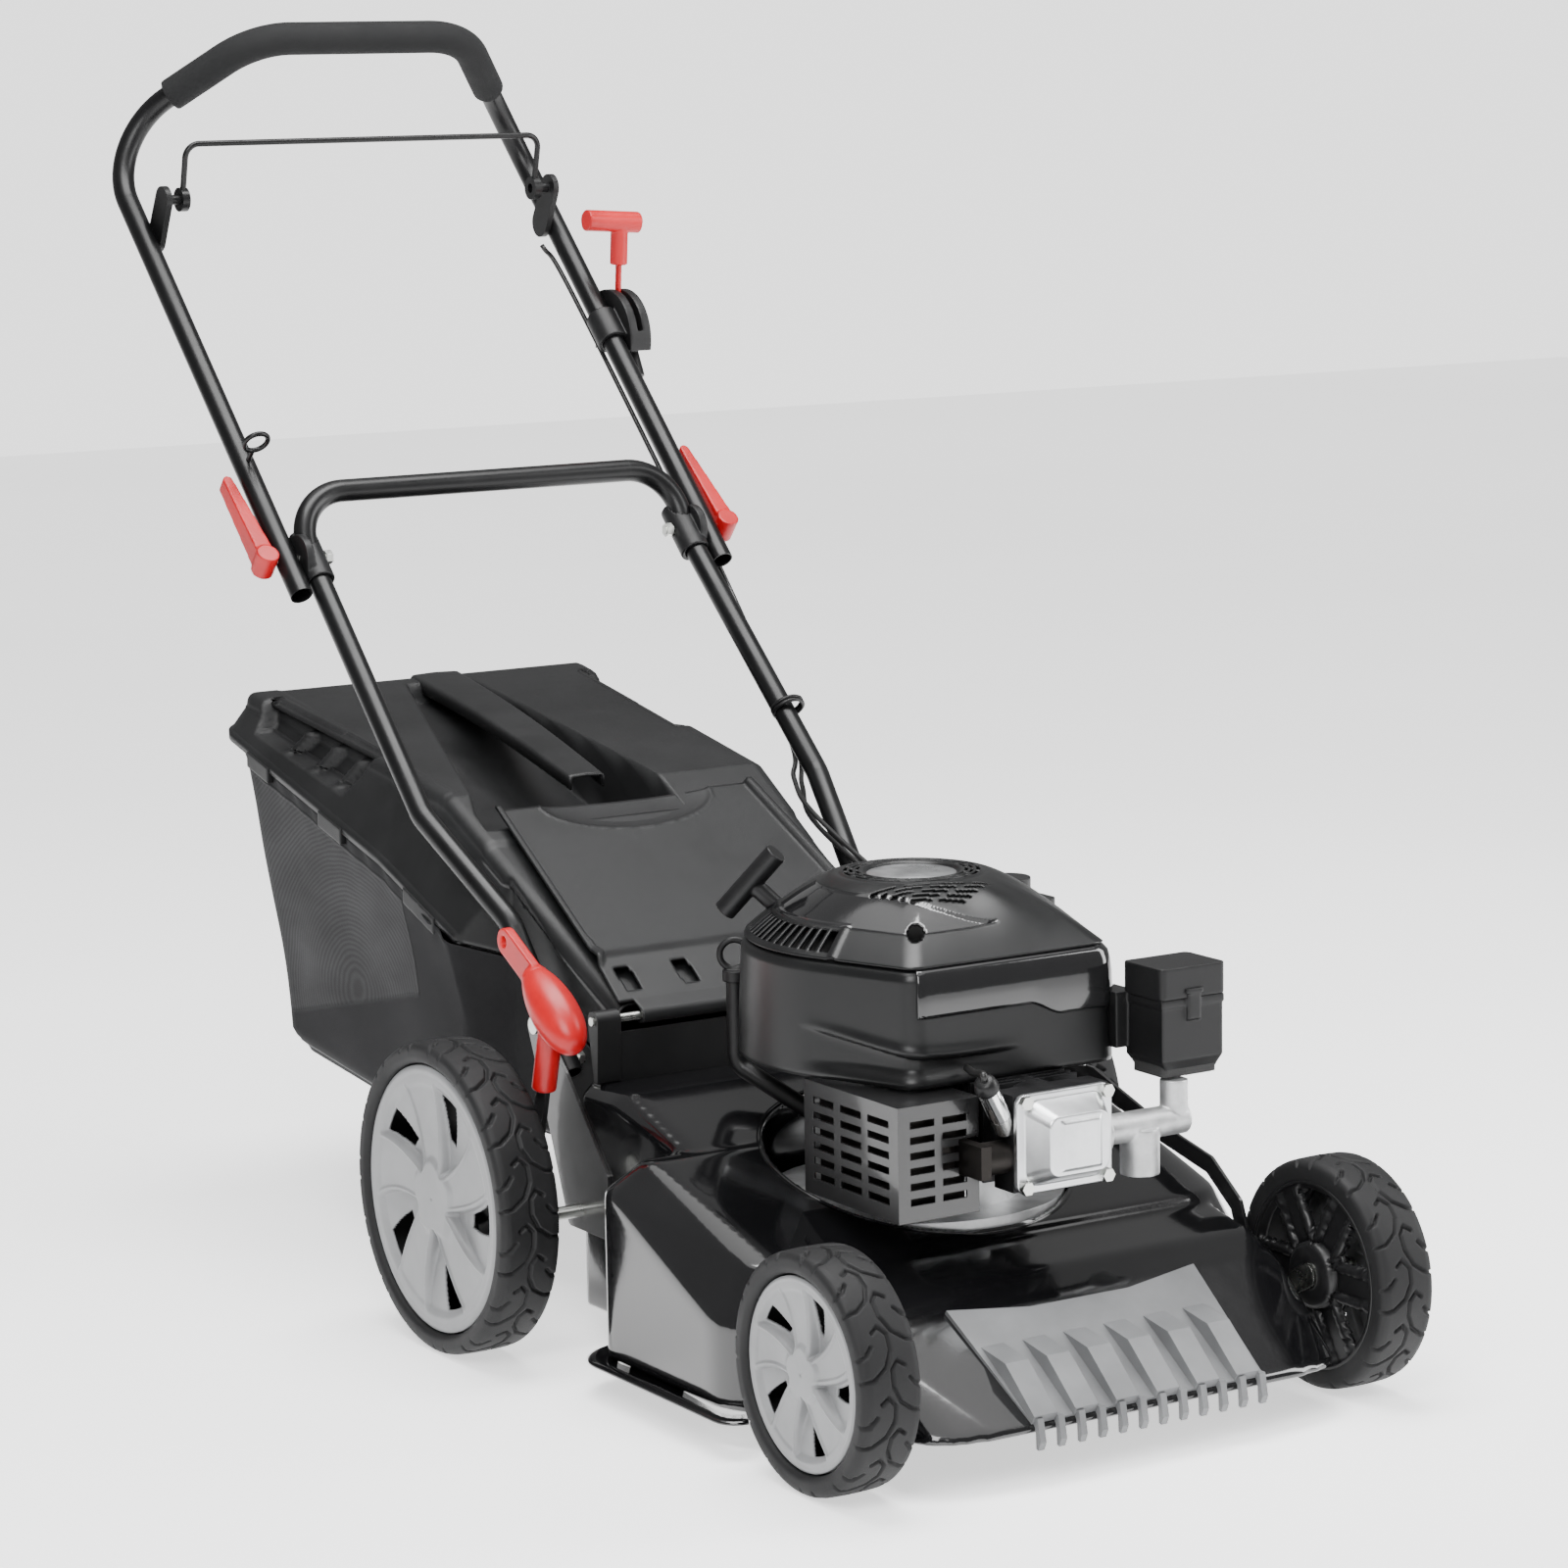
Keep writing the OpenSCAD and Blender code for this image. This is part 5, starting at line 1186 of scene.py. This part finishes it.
def make_height_grip():
    """Egg-shaped bulb of the height lever."""
    low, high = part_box("height_grip")
    x = (low.x + high.x) / 2 / MM
    axis = Vector((0, 0.8, 0.6))
    middle = Vector((x, *EGG_MIDDLE))
    along = [2.5 * k - 50 for k in range(41)]
    girth = [1 + 20 * math.sqrt(max(0, 1 - (t / 50.5) ** 2)) * (1 - 0.0028 * t) for t in along]
    egg = tube_mesh("height_egg", [at(*(middle + axis * t)) for t in along], girth, 48)
    piece("height_egg", egg, "red", "rear_axle")


soften_pieces()
make_air_box()
make_valve_details()
make_height_grip()

# ---------------------------------------------------------------- deck

RIM_Z = 30
TUNNEL_END = 500
WELL_R = 134


def deck_groups():
    """Points whose hulls make up the pressed deck: nose, body, blade chamber and discharge tunnel."""
    nose = [
        (side * x, y, z) for side in (-1, 1)
        for x, y in ((216, -46), (205, -66), (186, -78), (150, -86)) for z in (42, 47)
    ]
    nose += [(side * 216, y, z) for side in (-1, 1) for y, z in ((28, 118), (60, 132), (160, 150), (160, 42))]
    body = []
    for side in (-1, 1):
        body += ring_points(side * 198, 170, 70, RIM_Z, 104) + ring_points(side * 198, 170, 46, 104, 150)
        body += ring_points(side * 244, 331, 24, RIM_Z, 178) + ring_points(side * 226, 323, 10, 178, 204)
    tunnel = []
    for side in (-1, 1):
        tunnel += ring_points(side * 176, 320, 20, RIM_Z, 198)
        tunnel += ring_points(side * 176, 448, 20, RIM_Z, 224) + ring_points(side * 176, 448, 8, 224, 236)
        tunnel += [(side * x, TUNNEL_END + 6, z) for x, z in ((196, RIM_Z), (196, 224), (184, 236))]
    return [nose, body, ring_points(0, ENGINE_Y, 240, RIM_Z, 104), tunnel]


def well_rim(surface):
    """Rings of the engine well's wall, from the deck's surface down to the seat."""
    rings = [[], [], [], []]
    for a in np.linspace(0, 2 * math.pi, 180, endpoint=False):
        x, y = (WELL_R + 4) * math.cos(a), ENGINE_Y + (WELL_R + 4) * math.sin(a)
        hit = surface.ray_cast(at(x, y, 400), Vector((0, 0, -1)))[0]
        top = max(hit.z / MM, 149.5) if hit else 149.5
        wall = ((WELL_R + 4, top + 0.7), (WELL_R + 1, top + 0.5), (WELL_R, top - 2), (WELL_R, 148))
        for ring, (r, z) in zip(rings, wall):
            ring.append((r * math.cos(a), ENGINE_Y + r * math.sin(a), z))
    return np.array(rings)


def make_deck():
    """The pressed deck as one smooth skin, open below, behind and under the engine."""
    skin = remeshed("deck_skin", hulls_mesh("deck_skin", deck_groups()), 3.5, 14)
    work = bmesh.new()
    work.from_mesh(skin)
    rim = well_rim(BVHTree.FromBMesh(work))
    gone = []
    for face in work.faces:
        x, y, z = face.calc_center_median() / MM
        y += SHIFT / MM
        below = face.normal.z < -0.6 and z < 60
        behind = y > TUNNEL_END - 1.5
        well = math.hypot(x, y - ENGINE_Y) < WELL_R and z > 140
        if below or behind or well:
            gone.append(face)
    bmesh.ops.delete(work, geom=gone, context="FACES")
    work.to_mesh(skin)
    work.free()
    deck = piece("deck_skin", skin, "deck", "chassis", ["deck"])
    thicken(deck, 2.0, -1)
    collar = piece(
        "engine_well", grid_mesh("engine_well", rows(rim), close_v=True), "deck", "chassis",
    )
    thicken(collar, 1.5, 0)


def make_deck_flange():
    """Turned-out flange round the deck's lower edge, with a rolled lip."""
    for side, name in ((-1, "flange_right"), (1, "flange_left")):
        path = [(side * 196, 360, 31), (side * 230, 372, 31)]
        path += [
            (side * (238 + 49 * math.cos(a)), 325 + 49 * math.sin(a), 31)
            for a in np.linspace(math.pi / 2, 0, 12)
        ]
        path += [(side * 287, y, 31) for y in (250, 200, 160)]
        path += [
            (side * (267 + 20 * math.cos(a)), 130 - 22 * math.sin(a), 31)
            for a in np.linspace(0, math.pi / 2, 6)
        ]
        edge = np.array(path)
        centre = np.array([side * 180, 260, 31])
        inner = edge + (centre - edge) * (24 / np.linalg.norm(centre - edge, axis=1))[:, None]
        lip = edge + (0, 0, -1.2)
        strip = np.array([inner, edge * 0.9 + inner * 0.1 + (0, 0, 1), edge, lip])
        made = piece(name, grid_mesh(name, rows(strip)), "deck", "chassis")
        thicken(made, 2.0, 0)


def make_engine_seat():
    """Flat round seat pressed into the deck under the engine."""
    profile = [(137, 151), (134, 148.5), (60, 148.5), (60, 146.5), (134, 146.5)]
    seat = disc_mesh("engine_seat", (0, ENGINE_Y, 0), profile)
    piece("engine_seat", seat, "deck", "chassis")


make_deck()
make_deck_flange()
make_engine_seat()

# ---------------------------------------------------------------- light and floor


def area_light(name, place, aim, size, power):
    data = bpy.data.lights.new(name, "AREA")
    data.shape = "RECTANGLE"
    data.size, data.size_y = size
    data.energy = power
    light = bpy.data.objects.new(name, data)
    light.location = at(*place)
    light.rotation_euler = (at(*aim) - light.location).to_track_quat("-Z", "Y").to_euler()
    bpy.context.scene.collection.objects.link(light)


FLOOR_HALF = 9


def make_stage():
    corners = [(x * FLOOR_HALF, y * FLOOR_HALF, 0) for x, y in ((-1, -1), (1, -1), (1, 1), (-1, 1))]
    floor = mesh_of("floor", corners, [(0, 1, 2, 3)])
    stage = bpy.data.objects.new("floor", floor)
    bpy.context.scene.collection.objects.link(stage)
    pale = Shader("pale floor", (0.86, 0.86, 0.865), 0.6)
    pale.vary(0.6, 0.01)
    floor.materials.append(pale.material)
    surface = next(n for n in pale.material.node_tree.nodes if n.type == "BSDF_PRINCIPLED")
    surface.inputs["Emission Color"].default_value = (1, 1, 1, 1)
    surface.inputs["Emission Strength"].default_value = 1.1
    world = bpy.data.worlds.new("studio")
    bpy.context.scene.world = world
    world.use_nodes = True
    world.node_tree.nodes["Background"].inputs["Color"].default_value = (1, 1, 1, 1)
    tree = world.node_tree
    seen = tree.nodes.new("ShaderNodeLightPath")
    level = tree.nodes.new("ShaderNodeMath")
    level.operation = "MULTIPLY_ADD"
    level.inputs[1].default_value = 1.8
    level.inputs[2].default_value = 0.3
    tree.links.new(seen.outputs["Is Camera Ray"], level.inputs[0])
    tree.links.new(level.outputs[0], tree.nodes["Background"].inputs["Strength"])
    data = bpy.data.lights.new("sky", "SUN")
    data.energy = 1.6
    data.angle = math.radians(70)
    sky = bpy.data.objects.new("sky", data)
    bpy.context.scene.collection.objects.link(sky)
    middle = (0, 500, 350)
    area_light("key", (-1900, -1500, 2300), middle, (1.6, 1.6), 95)
    area_light("side", (2300, -900, 1500), middle, (0.9, 2.4), 75)
    area_light("top", (0, 500, 3000), middle, (2.4, 1.2), 120)


make_stage()
